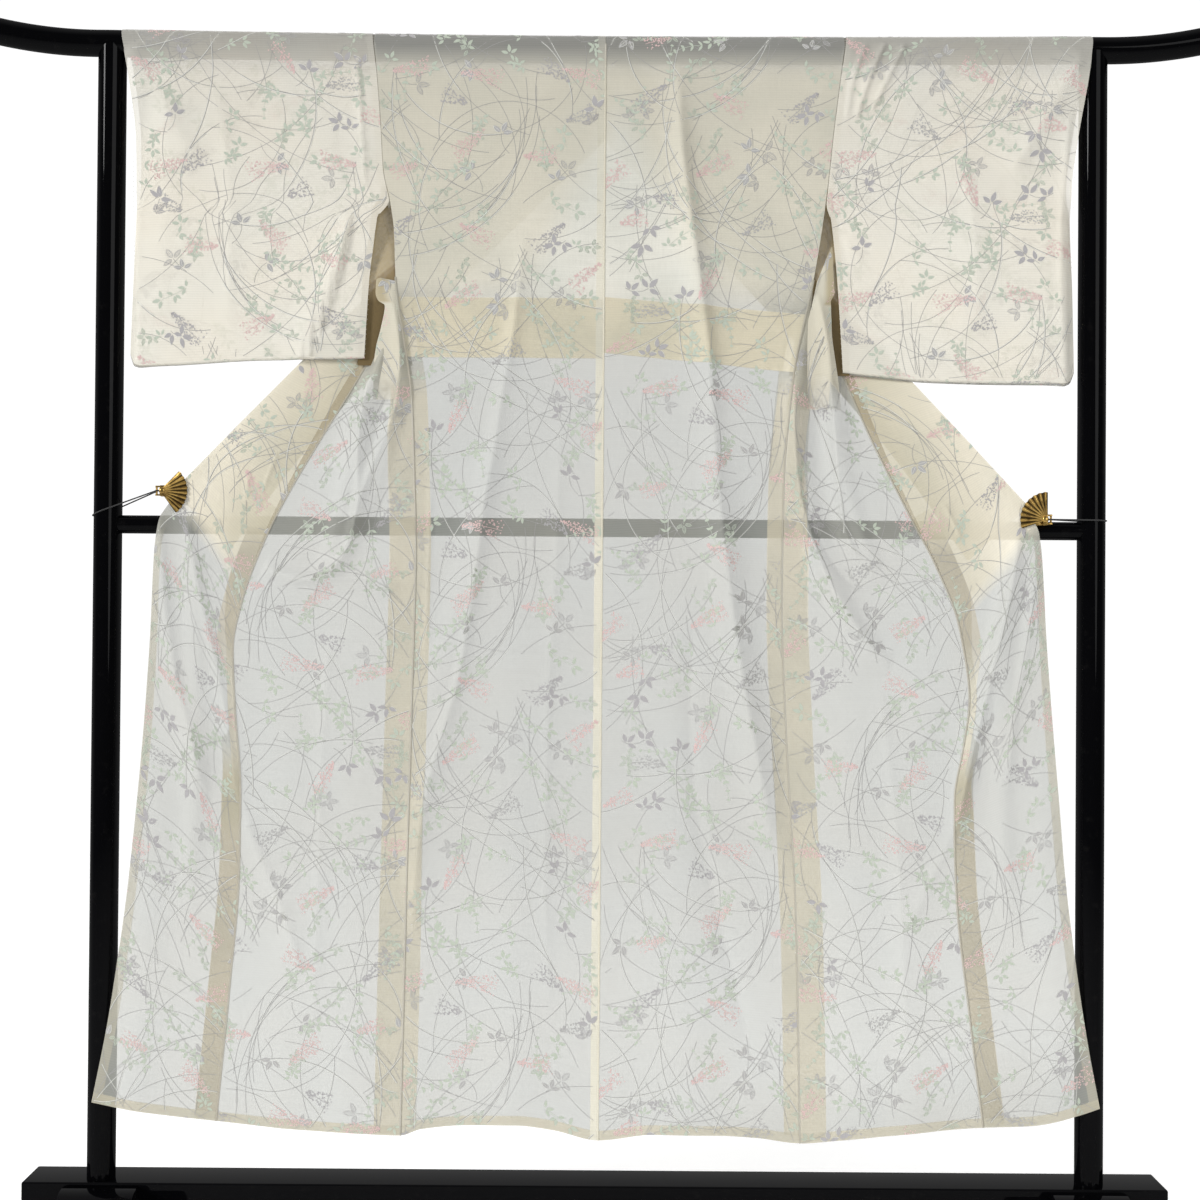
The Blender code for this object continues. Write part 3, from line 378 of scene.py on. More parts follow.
# Creases sharper than the main folds: the widths of the flanks on either side of the crest, its
# height and the line that it follows. A negative height is a trough.
Crease = namedtuple("Crease", "left right height line")
CREASES = [
    Crease(0.018, 0.013, 0.0156, [(0.106, 1.681), (0.113, 1.554), (0.125, 1.462), (0.138, 1.370),
           (0.150, 1.285), (0.159, 1.186), (0.165, 1.087), (0.176, 0.988), (0.189, 0.890),
           (0.207, 0.777), (0.229, 0.665), (0.246, 0.567)]),
    Crease(0.009, 0.014, 0.0102, [(-0.110, 1.432), (-0.123, 1.304), (-0.138, 1.212),
           (-0.150, 1.127), (-0.162, 1.057), (-0.172, 0.972), (-0.184, 0.887), (-0.198, 0.802),
           (-0.222, 0.718), (-0.244, 0.633), (-0.255, 0.535), (-0.258, 0.437)]),
    Crease(0.004, 0.004, 0.0026, [(-0.243, 1.169), (-0.239, 1.056), (-0.241, 0.943),
           (-0.245, 0.830)]),
    Crease(0.016, 0.012, -0.0055, [(0.131, 0.889), (0.129, 0.749), (0.142, 0.608), (0.166, 0.496),
           (0.195, 0.377), (0.224, 0.265)]),
    Crease(0.01, 0.01, 0.003, [(-0.057, 1.170), (-0.061, 0.973), (-0.071, 0.775), (-0.073, 0.550),
           (-0.067, 0.326)]),
    Crease(0.01, 0.01, 0.012, [(-0.298, 1.359), (-0.287, 1.296), (-0.283, 1.239), (-0.293, 1.176),
           (-0.316, 1.115), (-0.335, 1.062), (-0.346, 1.013), (-0.366, 0.968), (-0.396, 0.946),
           (-0.436, 0.944), (-0.475, 0.958)]),
    Crease(0.006, 0.008, 0.0077, [(-0.324, 1.232), (-0.336, 1.182), (-0.340, 1.119),
           (-0.341, 1.055), (-0.349, 1.006)]),
    Crease(0.006, 0.007, 0.0048, [(-0.475, 0.961), (-0.422, 0.946), (-0.351, 0.934),
           (-0.281, 0.932)]),
    Crease(0.018, 0.009, 0.01, [(-0.620, 1.046), (-0.616, 0.969), (-0.607, 0.884),
           (-0.589, 0.786), (-0.566, 0.701), (-0.548, 0.631)]),
    Crease(0.007, 0.009, 0.0075, [(-0.583, 1.036), (-0.574, 0.983), (-0.563, 0.927),
           (-0.546, 0.856), (-0.530, 0.786), (-0.518, 0.716), (-0.506, 0.631)]),
    Crease(0.007, 0.009, 0.0063, [(-0.495, 0.610), (-0.472, 0.547), (-0.438, 0.470),
           (-0.414, 0.386)]),
    Crease(0.012, 0.012, 0.0034, [(-0.379, 0.858), (-0.388, 0.688), (-0.392, 0.492),
           (-0.399, 0.281)]),
    Crease(0.009, 0.01, 0.0126, [(0.274, 1.236), (0.272, 1.173), (0.275, 1.116), (0.282, 1.064),
           (0.294, 1.018), (0.308, 0.975), (0.328, 0.933), (0.354, 0.891), (0.385, 0.852),
           (0.413, 0.830)]),
    Crease(0.006, 0.006, -0.006, [(0.283, 1.208), (0.282, 1.144), (0.286, 1.088), (0.297, 1.032),
           (0.317, 0.987), (0.342, 0.953), (0.373, 0.936), (0.414, 0.937)]),
    Crease(0.006, 0.008, 0.009, [(0.305, 1.352), (0.313, 1.314), (0.322, 1.258), (0.325, 1.201),
           (0.330, 1.145), (0.336, 1.074), (0.345, 1.018), (0.363, 0.981), (0.393, 0.959)]),
    Crease(0.009, 0.013, 0.0159, [(0.592, 1.014), (0.576, 0.935), (0.560, 0.864), (0.545, 0.794),
           (0.528, 0.723), (0.513, 0.653), (0.503, 0.597)]),
    Crease(0.008, 0.013, 0.0065, [(0.614, 1.009), (0.609, 0.921), (0.597, 0.836), (0.583, 0.752),
           (0.574, 0.653)]),
    Crease(0.012, 0.012, 0.0036, [(0.397, 0.793), (0.414, 0.652), (0.427, 0.498),
           (0.435, 0.287)]),
    Crease(0.008, 0.008, 0.0036, [(0.508, 0.611), (0.469, 0.526), (0.434, 0.456)]),
    Crease(0.0028, 0.0028, 0.0022, [(-0.454, 1.125), (-0.465, 1.097), (-0.475, 1.068)]),
    Crease(0.0028, 0.0028, 0.0018, [(-0.495, 1.091), (-0.498, 1.071), (-0.499, 1.051)]),
    Crease(0.0028, 0.0028, 0.0022, [(0.487, 1.054), (0.498, 1.032), (0.510, 1.008)]),
]


def smooth_at(table, key, value, where):
    """The value column of a table at a place in its key column, on a smooth curve."""
    rows = sorted(table, key=lambda row: getattr(row, key))
    keys = [getattr(row, key) for row in rows]
    values = [getattr(row, value) for row in rows]
    where = min(max(where, keys[0]), keys[-1])
    i = max(k for k in range(len(keys) - 1) if keys[k] <= where)
    slopes = [(values[k + 1] - values[k]) / (keys[k + 1] - keys[k]) for k in range(len(keys) - 1)]

    def tangent(k):
        if k in (0, len(keys) - 1):
            return slopes[min(k, len(slopes) - 1)]
        before, after = slopes[k - 1], slopes[k]
        return 0.0 if before * after <= 0 else 2 * before * after / (before + after)

    span = keys[i + 1] - keys[i]
    t = (where - keys[i]) / span
    return (
        values[i] * (1 + 2 * t) * (1 - t) ** 2
        + tangent(i) * span * t * (1 - t) ** 2
        + values[i + 1] * t * t * (3 - 2 * t)
        + tangent(i + 1) * span * t * t * (t - 1)
    )


def station_at(stations, place_along):
    """A station between two rows of a table, on a curve through four rows."""
    last = len(stations) - 1
    i = min(int(place_along), last - 1)
    t = place_along - i
    rows = [stations[min(max(i + k, 0), last)] for k in (-1, 0, 1, 2)]
    return type(stations[0])(*(along_curve(*four, t) for four in zip(*rows)))


def mix(a, b, t):
    return a + (b - a) * t


def ease(t):
    t = min(max(t, 0.0), 1.0)
    return t * t * (3 - 2 * t)


def over_rail(x, along, radius=DRAPE_R):
    """Depth and height of cloth on the rail, along from the -Y side, pi * radius to the +Y side."""
    angle = along / radius
    return -radius * math.cos(angle), rail_z(x) - DRAPE_DROP + radius * math.sin(angle)


def body_x(table, z):
    return smooth_at(table, "z", "x", z)


def hem_z(x):
    return smooth_at(BODY_HEM, "x", "z", x)


def fold_height(x, z):
    """How far the main folds lift the spread cloth towards -Y."""
    lift = 0.0
    for fold in FOLDS:
        if not fold.z2 - 0.1 < z < fold.z0 + 0.1:
            continue
        share = (fold.z0 - z) / (fold.z0 - fold.z2)
        t = min(max(share, 0.0), 1.0)
        middle = (1 - t) ** 2 * fold.x0 + 2 * t * (1 - t) * (
            2 * fold.x1 - (fold.x0 + fold.x2) / 2
        ) + t * t * fold.x2
        fade = ease((share + 0.12) / 0.35) * ease((1.12 - share) / 0.30)
        lift += fold.height * fade * math.exp(-(((x - middle) / fold.width) ** 2))
    return lift


def side_heights(steps):
    """Heights of the rows that backs, fronts and sleeves share along the side, hem to shoulder."""
    last = len(FRONT_STATIONS) - 1
    return [station_at(FRONT_STATIONS, k / steps).side_z for k in range(last * steps, -1, -1)]


def back_rows(side, columns, steps, arc):
    """Rows of points of one back, from its hem to the top of the rail."""
    made = []
    heights = side_heights(steps)
    for k in range(len(heights) + arc):
        row = []
        for i in range(columns + 1):
            u = i / columns
            trim = side * SEAM_GAP / 2 * (1 - 2 * u)
            side_z = heights[min(k, len(heights) - 1)]
            x = mix(CENTRE_X, body_x(BACK_SIDE[side], side_z), u) + trim
            ridge = rail_z(x) - DRAPE_DROP
            if k < len(heights):
                share = (side_z - heights[0]) / (heights[-1] - heights[0])
                foot = mix(CENTRE_X, body_x(BACK_SIDE[side], 0.155), u)
                own = mix(hem_z(foot), ridge, share)
                z = mix(own, side_z, u**3 * ease((1.55 - side_z) / 0.1) * ease(share / 0.1))
                hang = ease((ridge - z) / 0.25)
                y = mix(-DRAPE_R, BACK_Y, hang) - fold_height(x, z) * hang
            else:
                along = (k - len(heights) + 1) / arc * (math.pi * DRAPE_R / 2 - SEAM_GAP / 2)
                y, z = over_rail(x, along)
            row.append(Vector((x, y, z)))
        made.append(row)
    return made


def finer(grid, axis):
    """The grid with a row, or a column, more between each two, on a smooth curve through them."""
    old = np.moveaxis(grid, axis, 0)
    ends = np.concatenate([[2 * old[0] - old[1]], old, [2 * old[-1] - old[-2]]])
    made = np.empty((2 * len(old) - 1, *old.shape[1:]))
    made[0::2] = old
    made[1::2] = (9 * (ends[1:-2] + ends[2:-1]) - ends[:-3] - ends[3:]) / 16
    return np.moveaxis(made, 0, axis)


def creased(grid, creases):
    """The grid with the creases raised on it, towards -Y."""
    lift = np.zeros(grid.shape[:2])
    for crease in creases:
        line = np.array(smooth_line(crease.line, 4))
        reach = 5 * max(crease.left, crease.right)
        place = grid[..., ::2]
        near = ((place > line.min(0) - reach) & (place < line.max(0) + reach)).all(2)
        if not near.any():
            continue
        ahead = np.diff(line, axis=0)
        apart = place[near][:, None] - line[:-1]
        along = np.clip((apart * ahead).sum(2) / (ahead**2).sum(1), 0, 1)
        apart -= along[..., None] * ahead
        away = np.linalg.norm(apart, axis=2)
        here = (np.arange(len(away)), away.argmin(1))
        ahead = ahead[here[1]]
        rightwards = ahead[:, 0] * apart[here][:, 1] - ahead[:, 1] * apart[here][:, 0]
        width = np.where(rightwards > 0, crease.right, crease.left)
        share = (here[1] + along[here]) / (len(line) - 1)
        ends = np.clip(share / 0.15, 0, 1) * np.clip((1 - share) / 0.2, 0, 1)
        lift[near] += crease.height * ends * (2 - ends) * np.exp(
            0.25 - np.sqrt((away[here] / width) ** 2 + 0.0625))
    # on the rail and just behind it the cloth lies smooth
    drawn = (np.clip((grid[..., 1] + 0.012) / 0.010, 0, 1)
             * np.clip((grid[..., 2] - 1.60) / 0.04, 0, 1))
    made = grid.copy()
    made[..., 1] -= lift * (1 - drawn)
    return made


WARP, WEFT = 0.0011, 0.0034  # spacing of the warp threads, and of the open rows of the rib


def tinted(colour, *by):
    return tuple(c * s for c, s in zip(colour, by))


def silk_gauze(name, colour, cover, layers=None, fade=None):
    """Sheer ribbed silk. cover is the share of the light that the threads stop. layers gives, from
    the place on the piece, on the cut and from its far edges, each part that lies on a second
    layer: where it is, its colour and its cover. That colour is partly the layer behind and partly
    painted light, for the light that passes between the layers. Where fade gives two heights, the
    cloth thins away from the upper to the lower."""
    material, here, shader = new_finish(name)
    cut, edges = (here.node("ShaderNodeUVMap", {"uv_map": layer}) for layer in ("cut", "edges"))
    rows = cut.node("ShaderNodeTexWave", {"bands_direction": "Y", "wave_profile": "SIN"}, out=1,
                    Vector=cut, Scale=0.314159 / WEFT, Distortion=0.0, Detail=0.0)
    threads = cut.stretched(1.0, 0.06, 1.0).noise(0.55 / WARP, 1.0)
    slubs = cut.stretched(0.05, 1.0, 1.0).noise(0.30 / WARP, 1.0)
    clouds = cut.noise(7.0, 1.0).clipped(0.35, 0.65)
    tone = clouds.between(tinted(colour, 0.985, 1.0, 1.0), tinted(colour, 1.01, 0.995, 0.965))
    stopped = cover
    # each layer's colour, partly the layer behind and partly painted light, goes over the cloth's
    # own
    for part, over, closer in layers(here, cut, edges) if layers else ():
        tone = part.between(tone, clouds.between(tinted(over, 1.05, 1.04, 1.0),
                                                 tinted(over, 0.93, 0.94, 0.91)))
        stopped = (1.0 - part) * stopped + part * closer
    # drawn tight over the rail, the threads stand a little apart
    z = here.axis("Z")
    on_rail = z.clipped(1.652, 1.688) * 0.6 + z.clipped(1.688, 1.712) * 0.4
    # towards the rail, from 1.42 m up, the tone is darkened: painted shade of the rail
    tone = (z.clipped(1.42, 1.66) * 0.14).between(tone, (0.30, 0.285, 0.24))
    tone = (on_rail * 0.55).between(tone, (0.46, 0.455, 0.43))
    stopped = on_rail * -0.14 + stopped
    base = (threads * 0.5 + slubs * 0.5).clipped(0.35, 0.65, 0.0, 0.12).between(
        tone, tinted(colour, 0.72, 0.72, 0.72))
    feed(shader, Base_Color=base, Roughness=0.52 + slubs * 0.16,
         Alpha=((stopped - 0.05) + threads * 0.05 + slubs * 0.05 - rows.clipped(0.75, 1.0) * 0.05)
         * (here.axis("Z").clipped(*fade) if fade else 1.0),
         Specular_IOR_Level=0.3, Sheen_Weight=0.25, Sheen_Roughness=0.4,
         Normal=rows.relief(0.00008, 0.35))
    return material


SILK, BACK_SILK = (0.384, 0.389, 0.357), (0.355, 0.360, 0.330)
ONE_LAYER = 0.68  # share of the light that one layer stops
DOUBLED = (0.505, 0.472, 0.380)  # over its own allowance
LET_IN = 0.0135  # the hem and the free front edge are turned in this wide
SIDE_FRONT, SIDE_BACK, MIDDLE = 0.036, 0.022, 0.011  # allowances of the side and middle seams
CUT_EDGE = 0.0004  # what lies under the cloth stops this far short of its edges


def back_layers(here, cut, edges):
    """The back lies on the front and collar, on its allowances and on the waist tuck."""
    x, z = here.axis("X"), here.axis("Z")
    yoke = z.clipped(1.30, 1.37) * z.clipped(1.668, 1.700, 1.0, 0.1)
    # between the collar's two halves only one front lies behind
    between_collar = ((x - z * 0.518).clipped(-0.836, -0.786)
                      * (x + z * 0.436).clipped(0.712, 0.762, 1.0, 0.0))
    side_seam = edges.axis("X").under(SIDE_BACK) * z.clipped(1.20, 1.26, 1.0, 0.0)
    tuck = here.node("ShaderNodeUVMap", {"uv_map": "tuck"})
    on_tuck = (1.0 - tuck.axis("X").under(0.0)) * (1.0 - tuck.axis("Y").under(0.0))
    return [(yoke, (0.612, 0.583, 0.500), 0.95),
            (yoke * between_collar, (0.650, 0.640, 0.585), 0.95),
            (side_seam.most(edges.axis("Y").under(LET_IN)), DOUBLED, 0.80),
            (on_tuck, (0.615, 0.570, 0.445), 0.84)]


def left_back_layers(here, cut, edges):
    """Both allowances of the middle seam are pressed towards the left."""
    return [*back_layers(here, cut, edges),
            (cut.axis("X").under(MIDDLE), (0.670, 0.645, 0.550), 0.80)]


back_silk = {-1: silk_gauze("silk_gauze_back_left", BACK_SILK, ONE_LAYER, left_back_layers),
             1: silk_gauze("silk_gauze_back_right", BACK_SILK, ONE_LAYER, back_layers)}
turned_in = silk_gauze("silk_gauze_turned_in", (0.66, 0.61, 0.49), 0.55)
seam_fold = silk_gauze("silk_gauze_seam_fold", (0.40, 0.375, 0.31), 0.88)
pressed_seam = silk_gauze("silk_gauze_pressed_seam", (0.66, 0.625, 0.51), 0.85)

thread, here, shader = new_finish("silk_thread")
feed(shader, Base_Color=here.noise(900.0).between((0.50, 0.48, 0.41), (0.60, 0.575, 0.50)),
     Roughness=0.55, Sheen_Weight=0.2, Normal=here.noise(2500.0).relief(0.00005, 0.5))


def stitches(name, path, every=0.012, long=0.0016):
    """Small hand stitches along a line of points, set by geometry nodes."""
    tree = bpy.data.node_groups.new(name, "GeometryNodeTree")
    given = {}
    for label, kind in (("Line", "Geometry"), ("Every", "Float"), ("Long", "Float"),
                        ("Half width", "Float"), ("Thread", "Material")):
        given[label] = tree.interface.new_socket(label, in_out="INPUT",
                                                 socket_type="NodeSocket" + kind).identifier
    tree.interface.new_socket("Stitches", in_out="OUTPUT", socket_type="NodeSocketGeometry")
    entry, result = tree.nodes.new("NodeGroupInput"), tree.nodes.new("NodeGroupOutput")

    def node(kind, links, **settings):
        made = tree.nodes.new("GeometryNode" + kind)
        for key, value in settings.items():
            setattr(made, key, value)
        for socket, source in links.items():
            tree.links.new(source, made.inputs[socket])
        return made

    curve = node("MeshToCurve", {"Mesh": entry.outputs["Line"]})
    even = node("ResampleCurve", {"Curve": curve.outputs[0], "Length": entry.outputs["Every"]},
                mode="LENGTH")
    shape = node("MeshCylinder", {"Radius": entry.outputs["Half width"],
                                  "Depth": entry.outputs["Long"]})
    shape.inputs["Vertices"].default_value = 5
    tangent = node("InputTangent", {})
    turn = tree.nodes.new("FunctionNodeAlignEulerToVector")
    turn.axis = "Z"
    tree.links.new(tangent.outputs[0], turn.inputs["Vector"])
    placed = node("InstanceOnPoints", {"Points": even.outputs[0], "Instance": shape.outputs["Mesh"],
                                       "Rotation": turn.outputs[0]})
    real = node("RealizeInstances", {"Geometry": placed.outputs[0]})
    dressed = node("SetMaterial", {"Geometry": real.outputs[0],
                                   "Material": entry.outputs["Thread"]})
    tree.links.new(dressed.outputs[0], result.inputs[0])
    mesh = bpy.data.meshes.new(name)
    mesh.from_pydata([tuple(p) for p in path], [(i, i + 1) for i in range(len(path) - 1)], [])
    line = bpy.data.objects.new(name, mesh)
    modifier = line.modifiers.new(name, "NODES")
    modifier.node_group = tree
    for label, value in (("Every", every), ("Long", long), ("Half width", 0.00022),
                         ("Thread", thread)):
        modifier[given[label]] = value
    return add_piece(name, baked(line), [])


class Length:
    """A length of cloth as it hangs: a grid of points, each with its place on the flat cut."""

    def __init__(self, rows, hem_last=True, creases=()):
        self.hem_last = hem_last
        self.grid = np.array([[tuple(p) for p in row] for row in rows])
        if creases:
            self.grid = creased(finer(finer(self.grid, 0), 1), creases)
        gaps = np.linalg.norm(np.diff(self.grid, axis=1), axis=2)
        self.across = np.concatenate([np.zeros((len(gaps), 1)), np.cumsum(gaps, axis=1)], axis=1)
        middle = self.grid[:, self.grid.shape[1] // 2]
        self.down = np.concatenate([[0.0],
                                    np.cumsum(np.linalg.norm(np.diff(middle, axis=0), axis=1))])
        along = np.gradient(self.grid, axis=0)
        over = np.gradient(self.grid, axis=1)
        normal = np.cross(over, along)
        normal /= np.maximum(np.linalg.norm(normal, axis=2, keepdims=True), 1e-12)
        self.turned = normal[..., 1].mean() >= 0
        self.normal = -normal if self.turned else normal
        self.long, self.wide = self.down[-1], self.across[:, -1].max()

    def width(self, v):
        return np.interp(v, self.down, self.across[:, -1])

    def at(self, u, v, off=0.0):
        """Points of the hanging cloth at places on the cut, lifted off its face."""
        u, v = np.asarray(u, float), np.asarray(v, float)
        k = np.clip(np.interp(v, self.down, np.arange(len(self.down))), 0, len(self.down) - 1.001)
        k0 = k.astype(int)
        t = (k - k0)[:, None]
        last = self.grid.shape[1] - 1
        share = np.clip(u / np.maximum(self.width(v), 1e-6), 0, 1)
        c = np.clip(share * last, 0, last - 0.001)
        c0 = c.astype(int)
        s = (c - c0)[:, None]

        def read(field):
            return ((field[k0, c0] * (1 - s) + field[k0, c0 + 1] * s) * (1 - t)
                    + (field[k0 + 1, c0] * (1 - s) + field[k0 + 1, c0 + 1] * s) * t)

        return read(self.grid) + read(self.normal) * off

    def piece(self, name, material, node=None, maps=None):
        """The cloth itself, as one smooth sheet with its places on the cut."""
        rows, columns = self.grid.shape[:2]
        index = np.arange(rows * columns).reshape(rows, columns)
        quads = np.stack([index[:-1, :-1], index[:-1, 1:], index[1:, 1:], index[1:, :-1]], -1)
        quads = quads.reshape(-1, 4)
        if self.turned:
            quads = quads[:, ::-1]
        mesh = bpy.data.meshes.new(name)
        mesh.from_pydata(self.grid.reshape(-1, 3).tolist(), [], quads.tolist())
        flat = np.stack([self.across, np.repeat(self.down[:, None], columns, 1)], -1)
        from_far = np.stack([self.across[:, -1:] - self.across,
                             self.long - flat[..., 1] if self.hem_last else flat[..., 1]], -1)
        corner = np.empty(len(mesh.loops), np.int32)
        mesh.loops.foreach_get("vertex_index", corner)
        for layer, places in {"cut": flat, "edges": from_far, **(maps or {})}.items():
            mesh.uv_layers.new(name=layer).data.foreach_set(
                "uv", places.reshape(-1, 2)[corner].astype(np.float32).ravel())
        return add_piece(name, mesh, [material], node)

    def seam(self, name, column, first, last, half=0.0015, silk=seam_fold):
        """The pressed fold that hides the stitches along one edge of this length."""
        line = [p for p in self.grid[:, column] if last < p[2] < first]
        return Length([[(x + half * c, y - (0.0016 - 0.0011 * abs(c)), z) for c in (-1, 0, 1)]
                       for x, y, z in line]).piece(name, silk)

    def flat(self):
        """Width and length of the cut."""
        return round(self.wide, 3), round(self.long, 3)

    def flat_area(self, most=0.98):
        """Area of the cut, at most this share of its width times its length."""
        a = self.grid[1:, :-1] - self.grid[:-1, :-1]
        b = self.grid[:-1, 1:] - self.grid[:-1, :-1]
        area, box = float(np.linalg.norm(np.cross(a, b), axis=2).sum()), self.wide * self.long
        return round(min(most, area / box) * box, 3)

    def stitched(self, name, first, last, count, v):
        """A row of stitches across the cloth."""
        return stitches(name, self.at(np.linspace(first, last, count), np.full(count, v), 0.0002))

    def strip(self, u0, u1, v0, v1, off, columns=3, rows=None):
        """A narrow length that lies on this one, between places on the cut; u may follow v."""
        vs = np.linspace(v0, v1, rows or max(4, int((v1 - v0) / 0.008)))
        ends = [np.asarray(u(vs) if callable(u) else np.full(len(vs), u), float)
                for u in (u0, u1)]
        rows = [self.at(ends[0] + (ends[1] - ends[0]) * i / columns, vs, off)
                for i in range(columns + 1)]
        return Length(np.stack(rows, 1))


# The dyer's own repeat, spread evenly over the cloth: long thin arcs that spring from loose
# bundles, twigs of three-part leaves, tufts of pale green and wedge-shaped sprays of small flowers.
REPEAT, BOLT = 0.64, 0.37  # height of the repeat, and width of the cloth
HAIRLINE = 0.00030  # half width of the thinnest printed lines
PRINT_LIFT, DYE_STEP = 0.00018, 0.00003  # the marks above the cloth, and each dye above the last
GREY, LEAF, GREEN, PINK, RESIST, MAUVE = range(6)


def dye(name, colour):
    """Dyed threads. They glow a little: painted light, for the light behind that they let through,
    whichever way they face.
    """
    material, here, shader = new_finish(name)
    bleed = here.noise(420.0, 2.0)
    feed(shader, Base_Color=bleed.clipped(0.3, 0.7).between(tinted(colour, 0.60, 0.60, 0.60),
                                                            tinted(colour, 0.70, 0.70, 0.70)),
         Roughness=0.6, Specular_IOR_Level=0.2, Emission_Color=(*colour, 1.0),
         Emission_Strength=0.28)
    return material


DYES = [dye("dye_stem_grey", (0.350, 0.345, 0.335)), dye("dye_leaf_grey", (0.435, 0.428, 0.420)),
        dye("dye_pale_green", (0.505, 0.555, 0.465)), dye("dye_pink", (0.690, 0.505, 0.485)),
        dye("dye_resist_white", (0.70, 0.705, 0.66)), dye("dye_mauve", (0.430, 0.417, 0.422))]


def printed_repeat(seed):
    """Every mark of one repeat, flat: lists of lines and of small filled shapes."""
    rng = np.random.default_rng(seed)
    lines, shapes = [], []

    def scatter(columns, rows):
        for i in range(columns):
            for j in range(rows):
                yield np.array([(i + rng.uniform(0.1, 0.9)) * BOLT / columns,
                                (j + rng.uniform(0.1, 0.9) + 0.5 * (i % 2)) * REPEAT / rows])

    def arc(start, heading, length, bend):
        steps = max(4, int(length / 0.0105))
        angle = heading + bend * np.linspace(0, 1, steps + 1)
        x = start[0] + np.concatenate([[0], np.cumsum(np.cos(angle[:-1]))]) * length / steps
        y = start[1] + np.concatenate([[0], np.cumsum(np.sin(angle[:-1]))]) * length / steps
        return np.stack([x, y], 1), angle

    def stem(start, heading, length, bend):
        path, angle = arc(start, heading, length, bend)
        lines.append((path, 0.00032, GREY))
        if rng.random() < 0.55:  # a line of bare cloth follows part of the stem
            first = rng.integers(0, len(path) // 2)
            part = path[first:first + len(path) // 2]
            beside = np.stack([-np.sin(angle), np.cos(angle)], 1)[first:first + len(path) // 2]
            lines.append((part + beside * 0.0011, 0.00036, RESIST))

    def leaflet(at, heading, length, width, colour, veined):
        c, s = math.cos(heading), math.sin(heading)

        def on_leaf(a, b):
            return at[0] + c * a * length - s * b * width, at[1] + s * a * length + c * b * width

        outline = np.array([on_leaf(a, b) for a, b in (
            (0, 0), (0.20, 0.38), (0.45, 0.5), (0.75, 0.32), (1, 0), (0.75, -0.32), (0.45, -0.5),
            (0.20, -0.38))])
        if veined:
            lines.append((np.vstack([outline, outline[:1]]), HAIRLINE, colour))
            for b in (-0.24, 0.0, 0.24):
                lines.append((np.array([on_leaf(a, b * (1.3 - abs(a - 0.45)))
                                        for a in (0.12, 0.50, 0.88)]), 0.00028, colour))
        else:
            shapes.append((outline, colour))
            if colour != GREEN:  # bare cloth along the middle vein and down one edge
                lines.append((np.array([on_leaf(a, 0.0) for a in (0.1, 0.4, 0.9)]), 0.00022,
                              RESIST))
                lines.append((outline[1:5] + 0.0006 * np.array([-s, c]), HAIRLINE, RESIST))

    def trefoil(at, heading, size, colour, veined=False):
        for turn, scale in ((0.0, 1.0), (1.2, 0.9), (-1.2, 0.9)):
            a = heading + turn + rng.normal(0, 0.16)
            leaflet(at + 0.0022 * np.array([math.cos(a), math.sin(a)]), a, size * scale,
                    size * scale * 0.46, colour, veined)

    def twig(at, length, leaves, size, colour, line):
        path, angle = arc(at, rng.uniform(0, 2 * math.pi), length, rng.uniform(-1.3, 1.3))
        lines.append((path, HAIRLINE, line))
        trefoil(path[-1], angle[-1], size, colour, rng.random() < 0.35)
        for k in range(leaves - 1):
            i = int((k + 0.6) / leaves * (len(path) - 1))
            trefoil(path[i], angle[i] + (-1) ** k * rng.uniform(0.7, 1.3), size * 0.85, colour,
                    rng.random() < 0.35)

    def feather(at):
        path, angle = arc(at, rng.uniform(0, 2 * math.pi), 0.052, rng.uniform(-1.0, 1.0))
        lines.append((path, HAIRLINE, GREEN))
        for share in np.linspace(0.12, 1.0, 7):
            i = int(share * (len(path) - 1))
            for turn in (-0.9, 0.9):
                leaflet(path[i], angle[i] + turn, 0.0085 * (1.3 - share), 0.0036, GREEN, False)

    def spray(at, colour):
        """A wedge of small buds, thick at its foot and thin at its tip."""
        length = rng.uniform(0.036, 0.058)
        heading = rng.uniform(-0.6, 1.0) + math.pi * rng.integers(2)
        ahead = np.array([math.cos(heading), math.sin(heading)])
        beside = np.array([-ahead[1], ahead[0]])
        bend = rng.uniform(-0.18, 0.18)

        def on_spray(share, off):
            return at + ahead * share * length + beside * (off + bend * share * share * length)

        middle = np.array([on_spray(s, 0.0) for s in np.linspace(0, 1, 7)])
        lines.append((middle, HAIRLINE, colour))
        for _ in range(int(length * 2200)):
            share = rng.uniform(0, 1) ** 0.9
            p = on_spray(share, rng.uniform(-1, 1) * 0.0145 * (1.08 - share) ** 0.8)
            r, a = rng.uniform(0.0011, 0.0017), rng.uniform(0, math.pi)
            shapes.append((np.array([(p[0] + r * math.cos(a + q * math.pi / 1.5),
                                      p[1] + r * math.sin(a + q * math.pi / 1.5))
                                     for q in range(3)]), colour))

    for bundle in scatter(2, 3):
        for _ in range(6):
            side = rng.choice((-1, 1))
            stem(bundle + rng.normal(0, 0.024, 2), -math.pi / 2 + side * rng.uniform(-0.2, 0.5),
                 rng.uniform(0.20, 0.42), side * rng.uniform(0.9, 2.3))
    for start in scatter(5, 8):
        stem(start, rng.uniform(0, 2 * math.pi), rng.uniform(0.16, 0.34),
             rng.choice((-1, 1)) * rng.uniform(0.9, 2.6))
    for at in scatter(3, 7):
        twig(at, rng.uniform(0.016, 0.036), rng.integers(1, 3), rng.uniform(0.0145, 0.0180),
             rng.choice((LEAF, LEAF, MAUVE)), GREY)
    for at in scatter(5, 8):
        twig(at, rng.uniform(0.018, 0.040), rng.integers(2, 5), rng.uniform(0.0095, 0.0130), GREEN,
             GREEN)
    for at in scatter(3, 5):
        feather(at)
    for at in scatter(3, 5):
        spray(at, PINK)
    for at in scatter(2, 4):
        spray(at, rng.choice((MAUVE, LEAF)))
    return lines, shapes


MARKS = printed_repeat(11)


